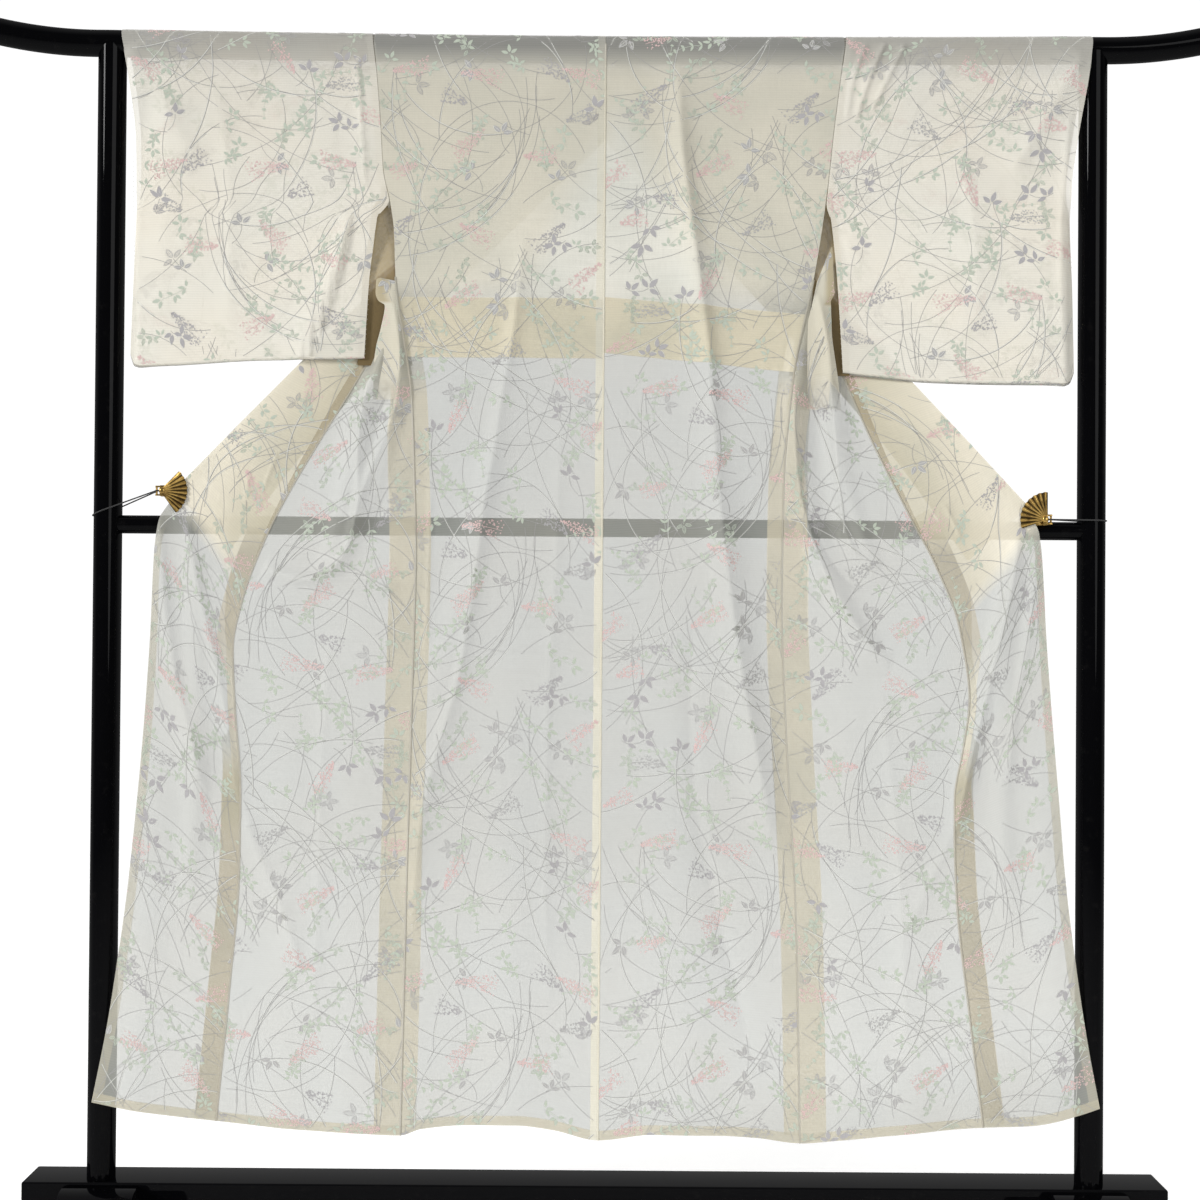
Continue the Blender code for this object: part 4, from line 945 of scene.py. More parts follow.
def print_on(cloth, name, u_shift=0.0, v_shift=0.0, flip=False):
    """The print, laid on both faces of a length of cloth: marks are cut off at its edges."""
    points, faces, kinds, lifts = [], [], [], []
    count = 0
    lines, shapes = MARKS
    low = math.floor((-v_shift - 0.5) / REPEAT)
    high = math.ceil((cloth.long - v_shift + 0.5) / REPEAT)

    def flat(marks, n):
        moved = np.array(marks, float)
        if flip:
            moved[:, 0] = BOLT - moved[:, 0]
        moved[:, 0] -= u_shift
        moved[:, 1] += v_shift + n * REPEAT
        return moved

    for n in range(low, high + 1):
        for path, half_width, colour in lines:
            p = flat(path, n)
            if p[:, 1].max() < 0 or p[:, 1].min() > cloth.long:
                continue
            tangent = np.gradient(p, axis=0)
            tangent /= np.maximum(np.linalg.norm(tangent, axis=1, keepdims=True), 1e-9)
            side = np.stack([-tangent[:, 1], tangent[:, 0]], 1) * half_width
            inside = ((p[:, 0] > 0) & (p[:, 0] < cloth.width(p[:, 1])) & (p[:, 1] > 0)
                      & (p[:, 1] < cloth.long))
            keep = inside[:-1] & inside[1:]
            if not keep.any():
                continue
            points.append(np.vstack([p + side, p - side]))
            lifts.append(np.full(2 * len(p), PRINT_LIFT + DYE_STEP * colour))
            m = len(p)
            for i in np.nonzero(keep)[0]:
                faces.append((count + i, count + i + 1, count + m + i + 1, count + m + i))
                kinds.append(colour)
            count += 2 * m
        for k, (outline, colour) in enumerate(shapes):
            p = flat(outline, n)
            middle = p.mean(0)
            if not (0 < middle[1] < cloth.long and 0 < middle[0] < cloth.width(middle[1])):
                continue
            points.append(p)
            # shapes of one dye that overlap lie at slightly different heights
            lifts.append(np.full(len(p), PRINT_LIFT + DYE_STEP * colour + 0.0000015 * (k % 17)))
            faces.append(tuple(range(count, count + len(p))))
            kinds.append(colour)
            count += len(p)
    flat_points = np.vstack(points)
    flat_points[:, 1] = np.clip(flat_points[:, 1], 0, cloth.long)
    flat_points[:, 0] = np.clip(flat_points[:, 0], 0, cloth.width(flat_points[:, 1]))
    lift = np.concatenate(lifts)[:, None]
    outer = cloth.at(flat_points[:, 0], flat_points[:, 1], lift)
    inner = cloth.at(flat_points[:, 0], flat_points[:, 1], -lift)
    used = np.zeros(count, bool)
    for face in faces:
        used[list(face)] = True
    number = np.cumsum(used) - 1
    kept = int(used.sum())
    front = [tuple(int(number[i]) for i in face) for face in faces]
    behind = [tuple(i + kept for i in face[::-1]) for face in front]
    mesh = bpy.data.meshes.new(name)
    mesh.from_pydata(np.vstack([outer[used], inner[used]]).tolist(), [], front + behind)
    mesh.polygons.foreach_set("material_index", np.array(kinds * 2, np.int32))
    for material in DYES:
        mesh.materials.append(material)
    mesh.validate()
    return add_piece(name, mesh, [])


def tuck_heights(side, u):
    """Bottom and top of the waist tuck, u of the way from the middle seam to the side."""
    return (1.258, 1.343) if side < 0 else (mix(1.266, 1.240, u), mix(1.345, 1.322, u))


for side, name in SIDES.items():
    back = Length(back_rows(side, 60, STEPS, ON_RAIL), hem_last=False, creases=CREASES)
    long = back.long
    # where the waist tuck lies behind it, as heights under its top and over its bottom
    x, z = back.grid[..., 0], back.grid[..., 2]
    low, high = tuck_heights(side, (x - CENTRE_X) / (x[:, -1:] - CENTRE_X))
    piece = back.piece(f"back_{name}_silk", back_silk[side], "back_" + name,
                       {"tuck": np.stack([high - z, z - low], -1)})
    parts = [
        print_on(back, f"print_back_{name}", 0.012 if side < 0 else 0.0,
                 0.11 if side < 0 else 0.31, flip=side < 0),
        # what is turned in: the side seam's allowance and the hem
        back.strip(lambda v: back.width(v) - SIDE_BACK, lambda v: back.width(v) - CUT_EDGE, 0.01,
                   long - 0.07, -0.0010).piece(f"side_allowance_{name}", turned_in),
        back.strip(CUT_EDGE, lambda v: back.width(v) - CUT_EDGE, CUT_EDGE, LET_IN, -0.0008, 40,
                   3).piece(f"back_hem_{name}", turned_in),
        back.seam(f"side_seam_{name}", -1, 1.372, 0.0),
        back.stitched(f"back_hem_stitches_{name}", 0.015, back.width(LET_IN) - 0.02, 80, LET_IN),
    ]
    if side < 0:
        parts.append(back.seam("middle_seam", 0, 1.705, 0.0, 0.0014, pressed_seam))
        parts.append(back.strip(CUT_EDGE, MIDDLE, 0.012, long - 0.03, -0.0010, 2).piece(
            "middle_allowance", turned_in))
    back.flat()
    back.flat_area()

# ---------------------------------------------------------------- the fronts
# The same two lengths carry on over the rail and down as the fronts. They are drawn out sideways
# beyond the backs, so that their outside shows there too, over the allowance of the side seam.
FRONT_Y = -0.0235  # plane of the spread fronts, clear of the posts
CLIP_Y = -0.0165  # the collar where the clip holds it
UNDER_CLIP_Y = CLIP_Y - 0.0030  # the overlap, which lies over the collar under the clip
OVER_COLLAR = 0.0023  # the overlap lies this far in front of the collar's seam
COLLAR_STRAIGHT = 0.85  # share of the collar line on which it comes forward to CLIP_Y
HEM_AT_SIDE, HEM_AT_SEAM = 0.159, 0.181  # heights of the hem at the front's two edges

INNER = {  # nape, along the collar to the overlap's point, then its seam down to the hem
    -1: [Edge(1.697, 0.004), Edge(1.608, -0.082), Edge(1.475, -0.213), Edge(1.345, -0.283),
         Edge(1.247, -0.332), Edge(1.144, -0.393), Edge(1.064, -0.439), Edge(1.000, -0.471),
         Edge(0.910, -0.503), Edge(0.845, -0.515), Edge(0.764, -0.511), Edge(0.646, -0.502),
         Edge(0.531, -0.503), Edge(0.381, -0.514), Edge(0.181, -0.532)],
    1: [Edge(1.697, 0.004), Edge(1.608, 0.090), Edge(1.475, 0.222), Edge(1.345, 0.294),
        Edge(1.232, 0.345), Edge(1.138, 0.387), Edge(1.035, 0.439), Edge(0.969, 0.474),
        Edge(0.880, 0.508), Edge(0.780, 0.522), Edge(0.717, 0.514), Edge(0.639, 0.501),
        Edge(0.514, 0.505), Edge(0.335, 0.525), Edge(0.179, 0.545)],
}
FRONT_EDGE = {
    -1: [Edge(1.058, -0.603), Edge(1.025, -0.621), Edge(0.978, -0.627), Edge(0.878, -0.631),
         Edge(0.781, -0.637), Edge(0.673, -0.645), Edge(0.516, -0.660), Edge(0.430, -0.671),
         Edge(0.326, -0.686), Edge(0.206, -0.708)],
    1: [Edge(1.046, 0.605), Edge(1.014, 0.621), Edge(0.951, 0.626), Edge(0.880, 0.630),
        Edge(0.790, 0.637), Edge(0.640, 0.650), Edge(0.547, 0.658), Edge(0.411, 0.675),
        Edge(0.300, 0.692), Edge(0.206, 0.709)],
}


def collar_line(side, share):
    """A point on the taut collar seam from the nape (0) to the clip (1)."""
    end = FRONT_EDGE[side][0]
    nape_z = rail_z(0) - 0.0030
    depth = mix(0.0225, CLIP_Y, min(share / COLLAR_STRAIGHT, 1.0))
    return Vector(
        (mix(CENTRE_X, end.x, share), depth, mix(nape_z, end.z + 0.008, share))
    )


def collar_depth(side, x, z):
    """Depth of the collar line nearest to a place in the spread cloth."""
    start, end = collar_line(side, 0.0), collar_line(side, 1.0)
    run, rise = end.x - start.x, end.z - start.z
    share = ((x - start.x) * run + (z - start.z) * rise) / (run**2 + rise**2)
    return collar_line(side, min(max(share, 0.0), 1.0)).y


def seam_y(side, x, z):
    """Depth of the overlap's seam: level with the collar above its point, then in front of it."""
    in_front = OVER_COLLAR * ease((1.54 - z) / 0.06)
    near = collar_depth(side, x, z) - in_front
    return mix(min(near, mix(near, UNDER_CLIP_Y, ease((1.10 - z) / 0.06))), FRONT_Y,
               ease((1.02 - z) / 0.14))


def hang_low(z_row, z_hem, x, row_share):
    """Height of a point once the hem's own curve is taken up towards the bottom."""
    return mix(z_row, hem_z(x) + z_row - z_hem, row_share)


def low_share(station):
    """How far the hem's own curve is taken up at a station: 0 at the hip, 1 at the hem."""
    return ease((0.9 - station.seam_z) / 0.7)


def spread_share(station):
    """0 where the cloth still comes down from the rail, 1 where it is spread out flat."""
    return ease((1.40 - station.side_z) / 0.16)


def front_point(side, station, u):
    """A point of a front, u from its side (0) to its inner seam (1)."""
    apart = mix(0.0008, 0.0002, ease((station.side_z - 1.42) / 0.15))
    side_x = body_x(BACK_SIDE[side], station.side_z) + side * apart
    seam_x = body_x(INNER[side], station.seam_z)
    trim = min(SEAM_GAP / max(abs(seam_x - side_x), 0.01), 0.1)
    v = mix(trim, 1 - trim, u)
    x = mix(side_x, seam_x, v)
    z = hang_low(mix(station.side_z, station.seam_z, v), mix(HEM_AT_SIDE, HEM_AT_SEAM, v), x,
                 low_share(station))
    # round the armpit the front laps over the overlap's seam
    lap = 0.0018 * ease((station.seam_z - 1.26) / 0.05) * ease((1.54 - station.seam_z) / 0.05)
    y = mix(station.side_y, seam_y(side, seam_x, station.seam_z) - lap, v)
    spread = spread_share(station)
    y -= fold_height(x, z) * spread
    y -= station.pleat * math.sin(math.pi * u) * math.cos(3 * math.pi * u) * spread
    return Vector((x, y, z))


def front_rows_x(side, columns):
    """Across the top of a front, from the sleeve to the nape."""
    outer, nape = body_x(BACK_SIDE[side], FRONT_STATIONS[0].side_z), CENTRE_X
    return [mix(outer, nape, i / columns) + side * SEAM_GAP * (2 * i / columns - 1) / 2
            for i in range(columns + 1)]


def front_rows(side, columns, steps, arc):
    """Rows of points of one front, from the top of the rail to the hem."""
    made = []
    top = front_rows_x(side, columns)
    for k in range(arc):
        along = mix(math.pi * DRAPE_R / 2 + SEAM_GAP / 2, math.pi * DRAPE_R, k / arc)
        made.append([Vector((x, *over_rail(x, along))) for x in top])
    for k in range((len(FRONT_STATIONS) - 1) * steps + 1):
        station = station_at(FRONT_STATIONS, k / steps)
        row = [front_point(side, station, i / columns) for i in range(columns + 1)]
        if k == 0:
            row = [Vector((x, *over_rail(x, math.pi * DRAPE_R))) for x in top]
        made.append(row)
    return made


def front_layers(here, cut, edges):
    """The front lies on the collar and back above, and on its allowances."""
    z = here.axis("Z")
    side_seam = cut.axis("X").under(SIDE_FRONT) * z.clipped(1.20, 1.27, 1.0, 0.0)
    return [(z.clipped(1.17, 1.38), (0.62, 0.585, 0.475), 0.80),
            (side_seam.most(edges.axis("Y").under(LET_IN)), DOUBLED, 0.80)]


front_silk = silk_gauze("silk_gauze_front", SILK, ONE_LAYER, front_layers)
for side, name in SIDES.items():
    front = Length(front_rows(side, 56, STEPS, ON_RAIL), creases=CREASES)
    long = front.long
    piece = front.piece(f"front_{name}_silk", front_silk, "front_" + name)
    parts = [
        print_on(front, f"print_front_{name}", 0.03, 0.22 if side < 0 else 0.47, flip=side > 0),
        front.strip(CUT_EDGE, SIDE_FRONT, 0.46, long - 0.002, -0.0009).piece(
            f"front_allowance_{name}", turned_in),
        front.strip(0.0, front.width, long - LET_IN, long - CUT_EDGE, -0.0008, 40, 3).piece(
            f"front_hem_{name}", turned_in),
        front.stitched(f"front_hem_stitches_{name}", SIDE_FRONT,
                       front.width(long - LET_IN) - 0.004, 60, long - LET_IN),
    ]
    front.flat_area()

# ---------------------------------------------------------------- the overlaps
# Two half-width lengths sewn to the front edges of the fronts, each ending in a point under the
# collar. The clip holds them just below the collar's end, and they fall from there to the hem.
OKUMI_FIRST, CLIP_STATION = 4, 12  # the overlap starts at one station and meets the clip at another
SEAM_OVERLAP = 0.031  # allowance of its seam to the front


def okumi_rows(side, columns, steps):
    """Rows of points of one overlap panel, from its point on the collar to the hem."""
    made = []
    first_z, last_z = FRONT_EDGE[side][0].z, FRONT_EDGE[side][-1].z
    for k in range(OKUMI_FIRST * steps, (len(FRONT_STATIONS) - 1) * steps + 1):
        station = station_at(FRONT_STATIONS, k / steps)
        seam_x = body_x(INNER[side], station.seam_z)
        inner = Vector((seam_x, seam_y(side, seam_x, station.seam_z), station.seam_z))
        if k <= CLIP_STATION * steps:
            outer = collar_line(side, station.edge) - Vector((0, OVER_COLLAR, 0))
            outer.y = min(outer.y, mix(outer.y, UNDER_CLIP_Y, ease((1.12 - outer.z) / 0.05)))
        else:
            z = mix(first_z, last_z, min(station.edge - 1, 1.0))
            y = mix(UNDER_CLIP_Y, FRONT_Y, ease((1.03 - z) / 0.14))
            outer = Vector((body_x(FRONT_EDGE[side], z), y, z))
        trim = min(SEAM_GAP / (outer - inner).length, 0.2)
        low, spread = low_share(station), spread_share(station)
        row = []
        for c in range(columns + 1):
            u = mix(trim, 1 - trim, c / columns)
            point = inner.lerp(outer, u)
            point.z = hang_low(point.z, mix(HEM_AT_SEAM, last_z, u), point.x, low)
            calm = mix(1.0, ease((1.03 - point.z) / 0.08), ease(u / 0.4))
            point.y -= fold_height(point.x, point.z) * spread * calm
            row.append(point)
        made.append(row)
    return made


def overlap_layers(here, cut, edges):
    """The overlap lies on the collar above, and on its allowances. The seam's own starts as a
    folded corner below the collar's end, darkened with painted shade under the fold."""
    x, z = here.axis("X"), here.axis("Z")
    under_collar = (z - 1.22 * abs(x) + 0.047 * x).clipped(0.282, 0.318)
    towards_seam = (abs(x) * 0.877 + z * 0.479).clipped(0.895, 1.000, 1.0, 0.0)
    # where the seam turns under at mid height, less of the allowance shows
    turned_under = z.clipped(0.655, 0.675) * z.clipped(0.80, 0.86, 1.0, 0.0)
    seam = ((cut.axis("X") + turned_under * 0.018).under(SEAM_OVERLAP)
            * z.clipped(0.98, 1.02, 1.0, 0.0))
    free = edges.axis("X").under(LET_IN) * z.clipped(0.98, 1.02, 0.55, 0.0)
    # the folded corner's darker colour is painted shade under the fold
    corner = (cut.axis("X").under(0.030) * z.clipped(0.585, 0.605)
              * z.clipped(0.66, 0.71, 1.0, 0.0))
    return [(under_collar, (0.760, 0.712, 0.600), 0.88),
            (under_collar * towards_seam, (0.555, 0.512, 0.395), 0.88),
            (seam, (0.405, 0.365, 0.275), 0.80), (seam * turned_under, (0.54, 0.510, 0.415), 0.76),
            (edges.axis("Y").under(LET_IN).most(free), DOUBLED, 0.80),
            (corner, (0.40, 0.365, 0.265), 0.85)]


# a dark brown sheet of painted shade, which thins away downwards
painted_shade_silk = silk_gauze("silk_gauze_painted_shade", (0.46, 0.40, 0.28), 0.60, fade=(0.93, 1.12))
overlap_silk = silk_gauze("silk_gauze_overlap", SILK, ONE_LAYER, overlap_layers)
for side, name in SIDES.items():
    overlap = Length(okumi_rows(side, 36, STEPS), creases=CREASES)
    long = overlap.long
    piece = overlap.piece(f"okumi_{name}_silk", overlap_silk, "okumi_" + name)

    def turned_under(v):
        """How far the seam's allowance reaches, less where it turns under at mid height."""
        under = np.interp(v, (0.60, 0.67, 0.80, 0.82), (0.0, 0.018, 0.018, 0.0))
        return np.minimum(SEAM_OVERLAP - under, 0.9 * overlap.width(v))

    parts = [
        print_on(overlap, f"print_okumi_{name}", 0.17, 0.05 if side < 0 else 0.40, flip=side < 0),
        overlap.strip(CUT_EDGE, turned_under, 0.47, long - 0.002, -0.0009).piece(
            f"okumi_allowance_{name}", turned_in),
        overlap.strip(lambda v: overlap.width(v) - LET_IN, lambda v: overlap.width(v) - CUT_EDGE,
                      0.50, long - 0.002, -0.0008).piece(f"front_edge_{name}", turned_in),
        overlap.strip(0.0, overlap.width, long - LET_IN, long - CUT_EDGE, -0.0007, 24, 3).piece(
            f"okumi_hem_{name}", turned_in),
        overlap.seam(f"okumi_seam_{name}", 0, 1.47, 0.0),
        overlap.stitched(f"okumi_hem_stitches_{name}", 0.006,
                         overlap.width(long - LET_IN) - LET_IN, 50, long - LET_IN),
        # a darker band along the collar's seam: a sheet of painted shade laid just in front of the
        # overlap, where the collar's allowance lies
        overlap.strip(0.0006, lambda v: np.interp(v, (0.06, 0.30, 0.54), (0.016, 0.013, 0.003)),
                      0.06, 0.54, 0.00009).piece(f"collar_seam_shade_{name}", painted_shade_silk),
    ]
    overlap.flat_area()

# ---------------------------------------------------------------- the sleeves
# One length each, folded over the rail and closed along the bottom and the lower cuff. The sleeve
# is sewn to the body only above the armpit; below, its inner edge hangs free.
SLEEVE_OPEN_Z = 1.480  # the sleeve is sewn to the body above this
CUFF_Z = 1.485  # the cuff is open above this
SLEEVE_GAP = 0.0009  # at the curved seam between sleeve and body
SLEEVE_CORNER = 0.020  # round of the sleeve's outer bottom corner
SEAM_IN = 0.013  # allowance of the seam to the body
CUFF = {
    -1: [Edge(1.724, -0.684), Edge(1.655, -0.671), Edge(1.560, -0.659), Edge(1.510, -0.658),
         Edge(1.419, -0.661), Edge(1.346, -0.664), Edge(1.242, -0.668)],
    1: [Edge(1.724, 0.695), Edge(1.672, 0.689), Edge(1.563, 0.671), Edge(1.501, 0.664),
        Edge(1.447, 0.664), Edge(1.374, 0.668), Edge(1.227, 0.672)],
}
FURI = {  # the sleeve's inner edge; above SLEEVE_OPEN_Z it follows the body's side
    -1: [Edge(1.480, -0.317), Edge(1.419, -0.322), Edge(1.367, -0.328), Edge(1.256, -0.334)],
    1: [Edge(1.480, 0.322), Edge(1.444, 0.326), Edge(1.361, 0.334), Edge(1.240, 0.342)],
}
SLEEVE_HEM = {
    -1: [Hem(-0.670, 1.242), Hem(-0.599, 1.245), Hem(-0.491, 1.252), Hem(-0.411, 1.254),
         Hem(-0.333, 1.256)],
    1: [Hem(0.343, 1.240), Hem(0.392, 1.235), Hem(0.464, 1.229), Hem(0.573, 1.227),
        Hem(0.672, 1.227)],
}
SLEEVE_CREASES = {
    -1: [
        Crease(0.013, 0.0028, 0.0085, [(-0.353, 1.462), (-0.365, 1.408), (-0.379, 1.359),
               (-0.393, 1.316), (-0.411, 1.281), (-0.430, 1.244)]),
        Crease(0.006, 0.003, 0.0034, [(-0.348, 1.685), (-0.342, 1.607), (-0.333, 1.494)]),
        Crease(0.028, 0.02, 0.006, [(-0.672, 1.697), (-0.626, 1.626), (-0.575, 1.527)]),
        Crease(0.016, 0.016, 0.0034, [(-0.548, 1.648), (-0.526, 1.492), (-0.527, 1.294)])],
    1: [
        Crease(0.0045, 0.0035, 0.005, [(0.400, 1.709), (0.378, 1.661), (0.358, 1.598)]),
        Crease(0.0045, 0.0035, 0.0044, [(0.428, 1.709), (0.405, 1.661), (0.379, 1.609)]),
        Crease(0.004, 0.003, 0.0034, [(0.373, 1.709), (0.354, 1.655), (0.346, 1.598)]),
        Crease(0.02, 0.018, 0.0062, [(0.680, 1.700), (0.633, 1.614), (0.576, 1.522)]),
        Crease(0.018, 0.014, 0.0036, [(0.506, 1.571), (0.527, 1.429), (0.532, 1.274)]),
        Crease(0.007, 0.005, 0.0034, [(0.661, 1.614), (0.650, 1.458), (0.651, 1.289)])],
}
# The front's outer edge under the arm, where it comes out from behind the back.
UNDERARM = {
    -1: [Edge(1.371, -0.3183), Edge(1.352, -0.3190), Edge(1.3395, -0.3140), Edge(1.334, -0.3055),
         Edge(1.303, -0.3106), Edge(1.274, -0.3175), Edge(1.253, -0.3201), Edge(1.197, -0.3210)],
    1: [Edge(1.423, 0.3262), Edge(1.364, 0.3293), Edge(1.3555, 0.3300), Edge(1.344, 0.3247),
        Edge(1.300, 0.3258), Edge(1.251, 0.3321), Edge(1.2325, 0.3350), Edge(1.187, 0.3400)],
}
UNDERARM_SLOPE = {-1: 0.006, 1: 0.055}  # its top falls by this towards the side seam


def sleeve_section(side, x_share, steps, over, bottom):
    """The closed section of a sleeve at a share of its length from the body to the cuff."""
    def across(z):
        if z >= SLEEVE_OPEN_Z:
            inner = body_x(BACK_SIDE[side], z) + side * SLEEVE_GAP
        else:
            join = body_x(BACK_SIDE[side], SLEEVE_OPEN_Z) + side * SLEEVE_GAP
            free = body_x(FURI[side], z)
            inner = mix(join, free, ease((SLEEVE_OPEN_Z - z) / 0.03))
        return mix(inner, body_x(CUFF[side], z), x_share)

    low_x = across(1.25)
    low = smooth_at(SLEEVE_HEM[side], "x", "z", low_x)
    outer_x = body_x(CUFF[side], 1.25)
    from_corner = min(abs(outer_x - low_x), SLEEVE_CORNER)
    low += SLEEVE_CORNER - math.sqrt(SLEEVE_CORNER**2 - (SLEEVE_CORNER - from_corner) ** 2)
    top = rail_z(low_x) - DRAPE_DROP
    closing = ease((x_share - 0.86) / 0.14)

    def layers(z):
        """Depth of the two layers at a height; they meet along the closed part of the cuff."""
        fall = (top - z) / (top - low)
        back = mix(-DRAPE_R, -0.0214, fall)
        front = mix(DRAPE_R, -0.0150, fall)
        # the cuff passes behind the post
        front = mix(front, DRAPE_R, ease((abs(across(z)) - 0.655) / 0.015))
        sewn = closing * ease((CUFF_Z + 0.02 - z) / 0.05)
        middle = mix(back, front, 0.35)
        return mix(back, middle - 0.0008, sewn), mix(front, middle + 0.0008, sewn)

    bottom_back, bottom_front = layers(low)
    curl = (bottom_front - bottom_back) / 2
    floor = low + curl
    sewn = [z for z in side_heights(steps)[:-1] if z > SLEEVE_OPEN_Z - 0.03]
    free = [s.side_z for s in FRONT_STATIONS[::-1] if 1.28 < s.side_z < sewn[0] - 0.01]
    up = [floor] + free + sewn
    points = [Vector((across(z), layers(z)[0], z)) for z in up]
    for k in range(over + 1):
        y, z = over_rail(low_x, math.pi * DRAPE_R * k / over)
        points.append(Vector((across(min(z, 1.72)), y, z)))
    points += [Vector((across(z), layers(z)[1], z)) for z in up[::-1]]
    for k in range(1, bottom):
        angle = math.pi * k / bottom
        y = (bottom_front + bottom_back) / 2 + curl * math.cos(angle)
        z = floor - curl * math.sin(angle)
        points.append(Vector((across(z), y, z)))
    return points


def underarm_layers(here, cut, edges):
    """Its rounded corner is turned in; its darker colour there is painted shade."""
    corner = (cut.axis("X").clipped(0.010, 0.024, 1.0, 0.0)
              * here.axis("Z").clipped(1.333, 1.337))
    return [(corner, (0.45, 0.39, 0.265), 0.90)]


# the sleeve's silk is the body's silk made brighter: painted light, for the light that passes
# between its two layers
brightened_sleeve_silk = silk_gauze("silk_gauze_sleeve_brightened", (0.80, 0.765, 0.675), 0.74)
underarm_silk = silk_gauze("silk_gauze_underarm", (0.62, 0.585, 0.48), 0.90, underarm_layers,
                           fade=(1.16, 1.24))
shaded_silk, here, shader = new_finish("silk_gauze_in_the_shade")
# its colours are painted shade: darkest brown low down, tan higher up, lightest above a line that
# rises towards the middle
deep = here.axis("Z").clipped(1.335, 1.355)
open_above = (here.axis("Z") + abs(here.axis("X")) * 0.83).clipped(1.632, 1.636)
feed(shader, Base_Color=open_above.between(
         deep.between((0.135, 0.095, 0.040), (0.265, 0.200, 0.105)), (0.370, 0.300, 0.178)),
     Roughness=0.6 + here.noise(700.0) * 0.1, Alpha=here.noise(400.0).clipped(0.3, 0.7, 0.9, 1.0),
     Specular_IOR_Level=0.2, Normal=here.stretched(1, 1, 3).noise(300.0).relief(0.0002, 0.3))


def lowest_edge(cloth):
    """The cloth's lower edge as seen from its outside: in each cell across, its lowest point."""
    near = cloth.grid[cloth.grid[..., 1] < np.median(cloth.grid[..., 1])]
    cells = np.linspace(near[:, 0].min() + 0.012, near[:, 0].max() - 0.012, 50)
    found = [near[(near[:, 0] >= a) & (near[:, 0] < b)] for a, b in zip(cells, cells[1:])]
    return [cell[cell[:, 2].argmin()] for cell in found if len(cell)]


for side, name in SIDES.items():
    rings = [sleeve_section(side, i / 60, STEPS, 2 * ON_RAIL, 10) for i in range(61)]
    sleeve = Length(list(zip(*[[*ring, ring[0]] for ring in rings])), creases=SLEEVE_CREASES[side])
    piece = sleeve.piece(f"sleeve_{name}_silk", brightened_sleeve_silk, "sleeve_" + name)
    parts = [print_on(sleeve, f"print_sleeve_{name}", 0.02, 0.18 if side < 0 else 0.02,
                      flip=side > 0)]
    # the seam to the body: above the armpit its allowance is pressed towards the sleeve
    rows, x = [], body_x(BACK_SIDE[side], 1.72)
    for k in range(12):
        y, z = over_rail(x, math.pi * DRAPE_R * (1.3 - k * 0.12), DRAPE_R - 0.0008)
        if z >= RAIL_Z:
            rows.append([(x + side * (SEAM_IN * c / 3 - 0.003), y, z) for c in range(4)])
    for k in range(40):
        z = mix(1.700, SLEEVE_OPEN_Z + 0.004, k / 39)
        x = body_x(BACK_SIDE[side], z)
        y = mix(-DRAPE_R, BACK_Y, ease((1.722 - z) / 0.25)) + 0.0012
        rows.append([(x + side * (SEAM_IN * c / 3 - 0.003), y, z) for c in range(4)])
    parts.append(Length(rows).piece(f"sleeve_seam_{name}", turned_in))
    # below it the front's turned-in edge hangs in the gap, in the shade
    rows = []
    for k in range(36):
        z = mix(1.505, 1.246 if side < 0 else 1.236, k / 35)
        low = ease((1.44 - z) / 0.06)
        outer = mix(body_x(BACK_SIDE[side], z), body_x(FURI[side], z), ease((1.50 - z) / 0.03))
        outer += side * 0.010
        inner = body_x(BACK_SIDE[side], z) - side * 0.006
        depth = smooth_at(FRONT_STATIONS, "side_z", "side_y", z) + mix(0.0030, 0.0045, low)
        # past the front's side it keeps on the near side of the sleeve's far layer
        beyond = min(depth, mix(DRAPE_R, -0.0150, (1.700 - z) / 0.452) - 0.0018)
        rows.append([(mix(inner, outer, c / 10), mix(depth, beyond, ease((c - 3) / 4))
                      - 0.0012 * math.sin(1.5 * math.pi * c / 10), z) for c in range(11)])
    parts.append(Length(rows).piece(f"armhole_edge_{name}", shaded_silk))
    # and the front comes out from behind the back in a rounded corner
    top, bottom = UNDERARM[side][0].z, UNDERARM[side][-1].z
    rows = []
    for k in range(40):
        z = mix(top, bottom, k / 39)
        edge, seam = body_x(UNDERARM[side], z), body_x(BACK_SIDE[side], z) - side * 0.004
        rows.append([(mix(edge, seam, c / 10), mix(-0.0219, -0.0200, ease(c / 8))
                      + 0.0022 * (1 - c / 10) ** 4,
                      z - (UNDERARM_SLOPE[side] * c / 10 + 0.004 * max(0.0, 1 - c / 2) ** 2)
                      * (1 - k / 39)) for c in range(11)])
    underarm = Length(rows, creases=CREASES)
    parts.append(underarm.piece(f"underarm_{name}", underarm_silk))
    parts.append(print_on(underarm, f"print_underarm_{name}", 0.19, 0.2))
    # the sleeve's bottom seam shows a row of stitches along its turned edge
    parts.append(stitches(f"sleeve_stitches_{name}", [
        (x, y - 0.0003, z + 0.0022) for x, y, z in lowest_edge(sleeve)], 0.007))
    sleeve.flat_area(0.999)

# ---------------------------------------------------------------- the collar
# A long strip folded lengthwise and sewn along the neckline from clip to clip. It lies behind the
# back and shows through it as a V.

# Width of the collar along its half length, from the nape to its end.
Band = namedtuple("Band", "along width")
COLLAR_BAND = [Band(0.00, 0.084), Band(0.35, 0.080), Band(0.70, 0.088), Band(1.00, 0.115)]


def collar_down(side):
    """The way across the collar, away from its seam."""
    along = collar_line(side, 1.0) - collar_line(side, 0.0)
    across = Vector((along.z * side, 0, -along.x * side))
    return across.normalized() if across.z < 0 else -across.normalized()


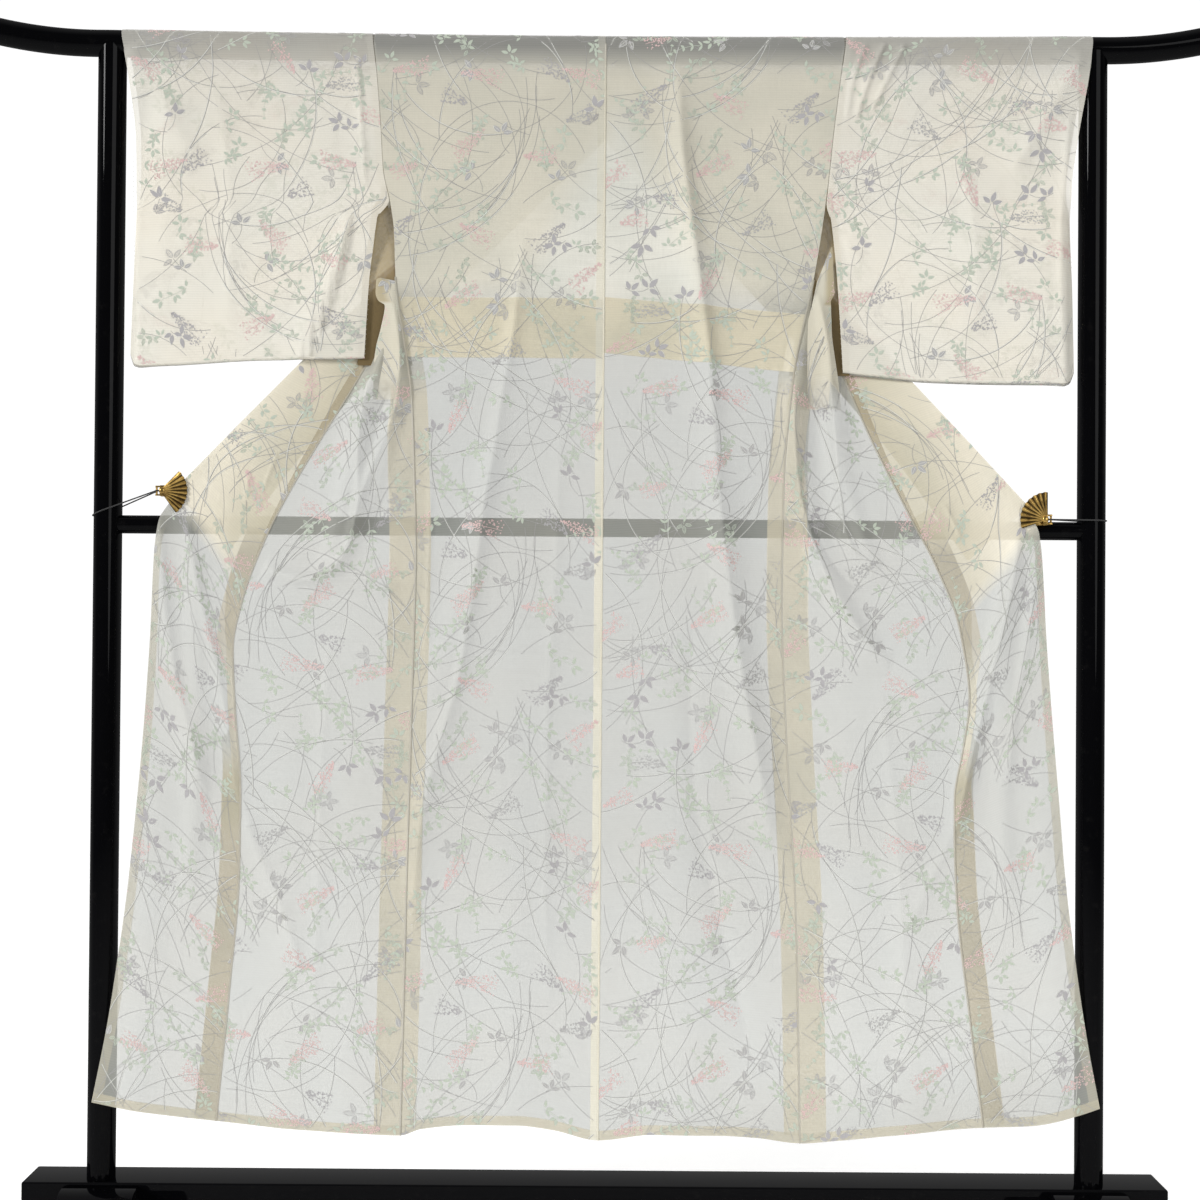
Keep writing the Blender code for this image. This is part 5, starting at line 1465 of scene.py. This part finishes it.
def collar_rows(columns, rows):
    """Rows of points of the collar, from its left end round the nape to its right end."""
    made = []
    for side in (-1, 1):
        down = collar_down(side)
        ranks = []
        for k in range(rows + 1):
            share = k / rows
            width = smooth_at(COLLAR_BAND, "along", "width", share)
            row = []
            for c in range(columns + 1):
                w = c / columns
                # at the nape both halves meet on the middle plane, as a mitre
                start = collar_line(side, 0.0) + down * width * w
                slope = collar_line(side, 1.0) - collar_line(side, 0.0)
                back_off = (CENTRE_X - start.x) / slope.x
                where = mix(back_off, 1.0, share)
                point = collar_line(side, max(where, 0.0))
                point += slope * min(where, 0.0)
                point += down * (width * w + SEAM_GAP)
                if point.z < CROSS_Z + 0.03:
                    point.y = min(point.y, CLIP_Y)
                row.append(point)
            ranks.append(row)
        made.append(ranks)
    left, right = made
    return left[::-1] + right[1:]


def collar_layers(here, cut, edges):
    """Below the armpits it turns outward: towards its seam it lies on the front's allowance."""
    x, z = here.axis("X"), here.axis("Z")
    turned_out = ((abs(x) * 0.877 + z * 0.479).clipped(0.895, 1.000, 1.0, 0.0)
                  * z.clipped(1.27, 1.33, 1.0, 0.0))
    return [(turned_out, (0.640, 0.600, 0.490), 0.86)]


# the collar's silk is brighter than the body's: painted light, for the light among its folded
# layers
collar_silk = silk_gauze("silk_gauze_collar_brightened", (0.875, 0.835, 0.735), 0.80, collar_layers)
collar = Length(collar_rows(14, 110), creases=CREASES)
piece = collar.piece("collar_silk", collar_silk, "collar")
parts = [print_on(collar, "print_collar", 0.13, 0.0)]
# the fronts' allowance along the neck, turned in under the collar down to the overlap's point
for side, name in SIDES.items():
    down = collar_down(side)
    rows = []
    for k in range(33):
        on_line = collar_line(side, 0.02 + 0.40 * k / 32) + Vector((0, 0.0008, 0))
        rows.append([on_line + down * mix(-0.026, 0.014, c / 8) for c in range(9)])
    parts.append(Length(rows).piece(f"neck_allowance_{name}", front_silk))
collar.flat_area()

# ---------------------------------------------------------------- the waist tuck
# The spare length of the back is taken up inside in a doubled pleat, sewn along its top. It lies
# against the back's inner face and shows through it as a pale band.


def tuck_rows(side, columns, rows):
    """Rows of points of the waist tuck, behind one back."""
    made = []
    behind = CLOTH + SEAM_GAP + 0.0005
    for k in range(rows + 1):
        row = []
        for c in range(columns + 1):
            u = mix(0.002, 0.94, c / columns)
            z = mix(*tuck_heights(side, u), k / rows)
            x = mix(CENTRE_X, body_x(BACK_SIDE[side], z), u)
            row.append(Vector((x, BACK_Y + behind - fold_height(x, z), z)))
        made.append(row)
    return made


# the tuck's silk is brighter and warmer than the back's: painted light, for the light between the
# pleat's layers and the back
tuck_silk = silk_gauze("silk_gauze_tuck_brightened", (0.73, 0.64, 0.45), 0.82)
for side, name in SIDES.items():
    tuck = Length(tuck_rows(side, 48, 14), creases=CREASES)
    piece = tuck.piece(f"waist_tuck_{name}_silk", tuck_silk, "waist_tuck_" + name)
    printed = print_on(tuck, f"print_tuck_{name}", 0.02, 0.3)

# ---------------------------------------------------------------- the clips and their cords
# Two gilt clips in the shape of a half-open folding fan. A leaf behind the cloth closes on the fan
# with a small hinge, and an elastic cord loops from the hinge pin round the post.
FAN_R, FAN_ROOT, FAN_RIBS, FAN_PLATE, FAN_RIB_LIFT = 0.0380, 0.0060, 9, 0.0010, 0.0012
PIN_R, CORD_R = 0.0015, 0.0010
DOUBLE = 0.0020  # wall of the folded collar

# The clips: place of the fan's root, how far the fan turns up from level and how wide it opens in
# degrees, length of the leaf behind the cloth, and how much lower the cord sits on the post.
Clip = namedtuple("Clip", "x z tilt spread leaf drop")
CLIPS = {-1: Clip(-0.6205, 1.0665, -4, 100, 0.020, 0.027),
         1: Clip(0.6320, 1.0350, 35, 110, 0.032, 0.0005)}  # its cord clears the cross rail


def gilt(name):
    material, here, shader = new_finish(name)
    wear = here.noise(260.0, 4.0, 0.6)
    tarnish = here.noise(90.0, 3.0).clipped(0.45, 0.75)
    worn = tarnish.between((0.46, 0.30, 0.09), (0.17, 0.10, 0.032))
    groove_shade = here.node("ShaderNodeAttribute", {"attribute_name": "groove_shade"}, out="Fac")
    # the grooves between the raised sticks are darkened almost to black: painted shade
    feed(shader, Base_Color=groove_shade.between(worn, (0.018, 0.010, 0.004)),
         Metallic=1.0, Roughness=0.20 + wear * 0.22,
         Normal=wear.relief(0.00008, 0.4))
    return material


gold = gilt("gilt_brass")
elastic, here, shader = new_finish("black_elastic")
feed(shader, Base_Color=here.noise(900.0).between((0.010, 0.010, 0.010), (0.035, 0.035, 0.035)),
     Roughness=0.75, Normal=here.noise(1500.0).relief(0.0001, 0.6))

for side, name in SIDES.items():
    clip = CLIPS[side]
    root = Vector((clip.x, 0, clip.z))
    back = CLIP_Y - 0.0036 - CLOTH / 2 - SEAM_GAP
    # the fan: raised sticks with folded leaf between them, bound by a rim
    bm = bmesh.new()
    folds, radii = 12 * FAN_RIBS, (FAN_ROOT, 0.010, 0.014, 0.018, 0.024, 0.030, 0.035, FAN_R)
    layers = {"front": [], "back": []}
    for radius in radii:
        rows = {"front": [], "back": []}
        for i in range(folds + 1):
            phase = i / folds * FAN_RIBS
            angle = math.radians(clip.tilt + clip.spread * (i / folds - 0.5))
            ridge = abs((phase % 1.0) * 2 - 1)
            lift = FAN_RIB_LIFT * (1 - ridge) * min(1.0, radius / 0.020)
            if radius < 0.017:
                lift = FAN_RIB_LIFT * (0.35 + 0.4 * (1 - ridge))
            reach_out = radius + (0.0010 * (1 - ridge) if radius == FAN_R else 0.0)
            x, z = root.x - side * reach_out * math.cos(angle), root.z + reach_out * math.sin(angle)
            rows["front"].append(bm.verts.new((x, back - FAN_PLATE - lift, z)))
            rows["back"].append(bm.verts.new((x, back, z)))
        for key in layers:
            layers[key].append(rows[key])
    for key, turn in (("front", 1), ("back", -1)):
        for lower, upper in zip(layers[key], layers[key][1:]):
            for i in range(folds):
                bm.faces.new((lower[i], lower[i + 1], upper[i + 1], upper[i])[::turn])
    for k in range(len(radii) - 1):
        for i, turn in ((0, 1), (folds, -1)):
            bm.faces.new((layers["front"][k][i], layers["front"][k + 1][i],
                          layers["back"][k + 1][i], layers["back"][k][i])[::turn])
    for k, turn in ((0, -1), (len(radii) - 1, 1)):
        for i in range(folds):
            bm.faces.new((layers["front"][k][i], layers["front"][k][i + 1],
                          layers["back"][k][i + 1], layers["back"][k][i])[::turn])
    bmesh.ops.recalc_face_normals(bm, faces=bm.faces)
    # a domed boss covers the root of the sticks
    bmesh.ops.create_uvsphere(bm, u_segments=20, v_segments=10, radius=0.0046, matrix=(
        Matrix.Translation((root.x - side * 0.0030, back - FAN_PLATE - 0.0004, root.z))
        @ Matrix.Diagonal((1.0, 0.42, 1.0, 1.0))))
    fan = mesh_of(bm, "fan")
    # how far each point lies down between the raised sticks, for the painted shade in the grooves
    groove_shade = fan.attributes.new("groove_shade", "FLOAT", "POINT")
    for vert, dark in zip(fan.vertices, groove_shade.data):
        proud = back - FAN_PLATE - vert.co.y
        reach_out = math.hypot(vert.co.x - root.x, vert.co.z - root.z)
        dark.value = 1.0 - ease(proud / (0.85 * FAN_RIB_LIFT * min(1.0, reach_out / 0.022)))
    add_piece(f"clip_{name}_fan_gilt", fan, [gold], f"clip_{name}_fan", 40)

    # the leaf behind the cloth, and the hinge with its pin
    front_face, rear_face = back, CLIP_Y + DOUBLE / 2 + SEAM_GAP
    leaf = root.x - side * clip.leaf
    add_piece(f"clip_{name}_jaw_gilt", planed_block(
        "jaw", (min(root.x, leaf), rear_face, root.z - 0.008),
        (max(root.x, leaf), rear_face + 0.0008, root.z + 0.008), 0.0003), [gold],
        f"clip_{name}_jaw", 40)
    pin_x = root.x + side * 0.0052
    inner, outer = root.x - side * 0.0060, root.x + side * 0.0008
    near, far = front_face + SEAM_GAP, rear_face - SEAM_GAP
    middle = (near + far) / 2
    bm = bmesh.new()
    bm.from_mesh(planed_block("hinge", (min(inner, outer), near, root.z - 0.0075),
                              (max(inner, outer), far, root.z + 0.0075), 0.0004))
    for end in (-1, 1):
        a, b = sorted((root.z + end * 0.0048, root.z + end * 0.0071))
        bm.from_mesh(planed_block("lug", (min(root.x, pin_x + side * 0.0018), middle - 0.0018, a),
                                  (max(root.x, pin_x + side * 0.0018), middle + 0.0018, b),
                                  0.0004))
    bm.from_mesh(round_bar("pin", [(pin_x, middle, root.z - 0.0066), (pin_x, middle, root.z),
                                   (pin_x, middle, root.z + 0.0066)], PIN_R, 6))
    add_piece(f"clip_{name}_hinge_gilt", mesh_of(bm, "hinge"), [gold], f"clip_{name}_hinge", 40)

    # the elastic cord, one closed loop
    post, pin = Vector((side * POST_X, 0.0)), Vector((pin_x, middle))
    r_post, r_pin = POST_R + SEAM_GAP + CORD_R, PIN_R + SEAM_GAP + CORD_R
    line = post - pin
    heading, lean = math.atan2(line.y, line.x), math.acos((r_pin - r_post) / line.length)
    loop = [post + r_post * Vector((math.cos(a), math.sin(a)))
            for a in (heading + mix(-lean, lean, i / 40) for i in range(41))]
    loop += [pin + r_pin * Vector((math.cos(a), math.sin(a)))
             for a in (heading + mix(lean, 2 * math.pi - lean, i / 14) for i in range(15))]
    loop = [(p.x, p.y, root.z - clip.drop * max((p.x - pin.x) / (post.x - pin.x), 0.0))
            for p in loop]
    add_piece(f"cord_{name}_elastic", round_bar("cord", loop, CORD_R, 4, closed=True), [elastic],
              "cord_" + name)

# ---------------------------------------------------------------- the floor and the light
# A pale floor that fades into the white of the studio all round. One broad lamp rakes across the
# cloth from the left so that its folds show, and a weaker one fills in from the right.
paper, here, shader = new_finish("pale_floor")
away = here.stretched(1.0, 1.0, 0.0).node("ShaderNodeVectorMath", {"operation": "LENGTH"}, out=1,
                                          Vector=here)
feed(shader, Base_Color=here.noise(3.0).between((0.90, 0.90, 0.90), (0.92, 0.92, 0.92)),
     Roughness=0.9, Specular_IOR_Level=0.1, Alpha=away.clipped(1.6, 5.5, 1.0, 0.0),
     Emission_Color=(1.0, 1.0, 1.0, 1.0), Emission_Strength=0.22)
bm = bmesh.new()
rings = [[bm.verts.new((r * math.cos(a), r * math.sin(a), 0.0))
          for a in (2 * math.pi * i / 48 for i in range(48))] for r in (0.3, 1.2, 2.4, 4.0, 6.0)]
bm.faces.new(rings[0])
for inner, outer in zip(rings, rings[1:]):
    for i in range(48):
        j = (i + 1) % 48
        bm.faces.new((inner[i], outer[i], outer[j], inner[j]))
floor = bpy.data.objects.new("floor", mesh_of(bm, "floor"))
floor.data.materials.append(paper)
floor.data.shade_smooth()
bpy.context.scene.collection.objects.link(floor)

# Each lamp: the way towards it, how wide it spreads in degrees, and its strength.
Lamp = namedtuple("Lamp", "name x y z spread strength")
for lamp in (Lamp("key", -0.78, -0.60, 0.36, 16, 2.50), Lamp("fill", 0.50, -0.90, 0.25, 30, 0.88)):
    light = bpy.data.lights.new(lamp.name, "SUN")
    light.energy, light.angle = lamp.strength, math.radians(lamp.spread)
    holder = bpy.data.objects.new(lamp.name, light)
    holder.location = (4 * lamp.x, 4 * lamp.y, 1.0 + 4 * lamp.z)
    aim = -Vector((lamp.x, lamp.y, lamp.z))
    holder.rotation_euler = aim.to_track_quat("-Z", "Y").to_euler()
    bpy.context.scene.collection.objects.link(holder)
world = bpy.data.worlds.new("studio")
world.use_nodes = True
sky = Finish(world.node_tree).node("ShaderNodeTexCoord", out="Generated")
glow = (sky.axis("Y") + sky.axis("Z").most(0.0) * 0.5).clipped(-0.20, 0.45, 0.16, 1.05)
background = world.node_tree.nodes["Background"]
background.inputs["Color"].default_value = (1.0, 1.0, 1.0, 1.0)
world.node_tree.links.new(glow.socket, background.inputs["Strength"])
bpy.context.scene.world = world
bpy.context.scene.view_settings.view_transform = "Standard"
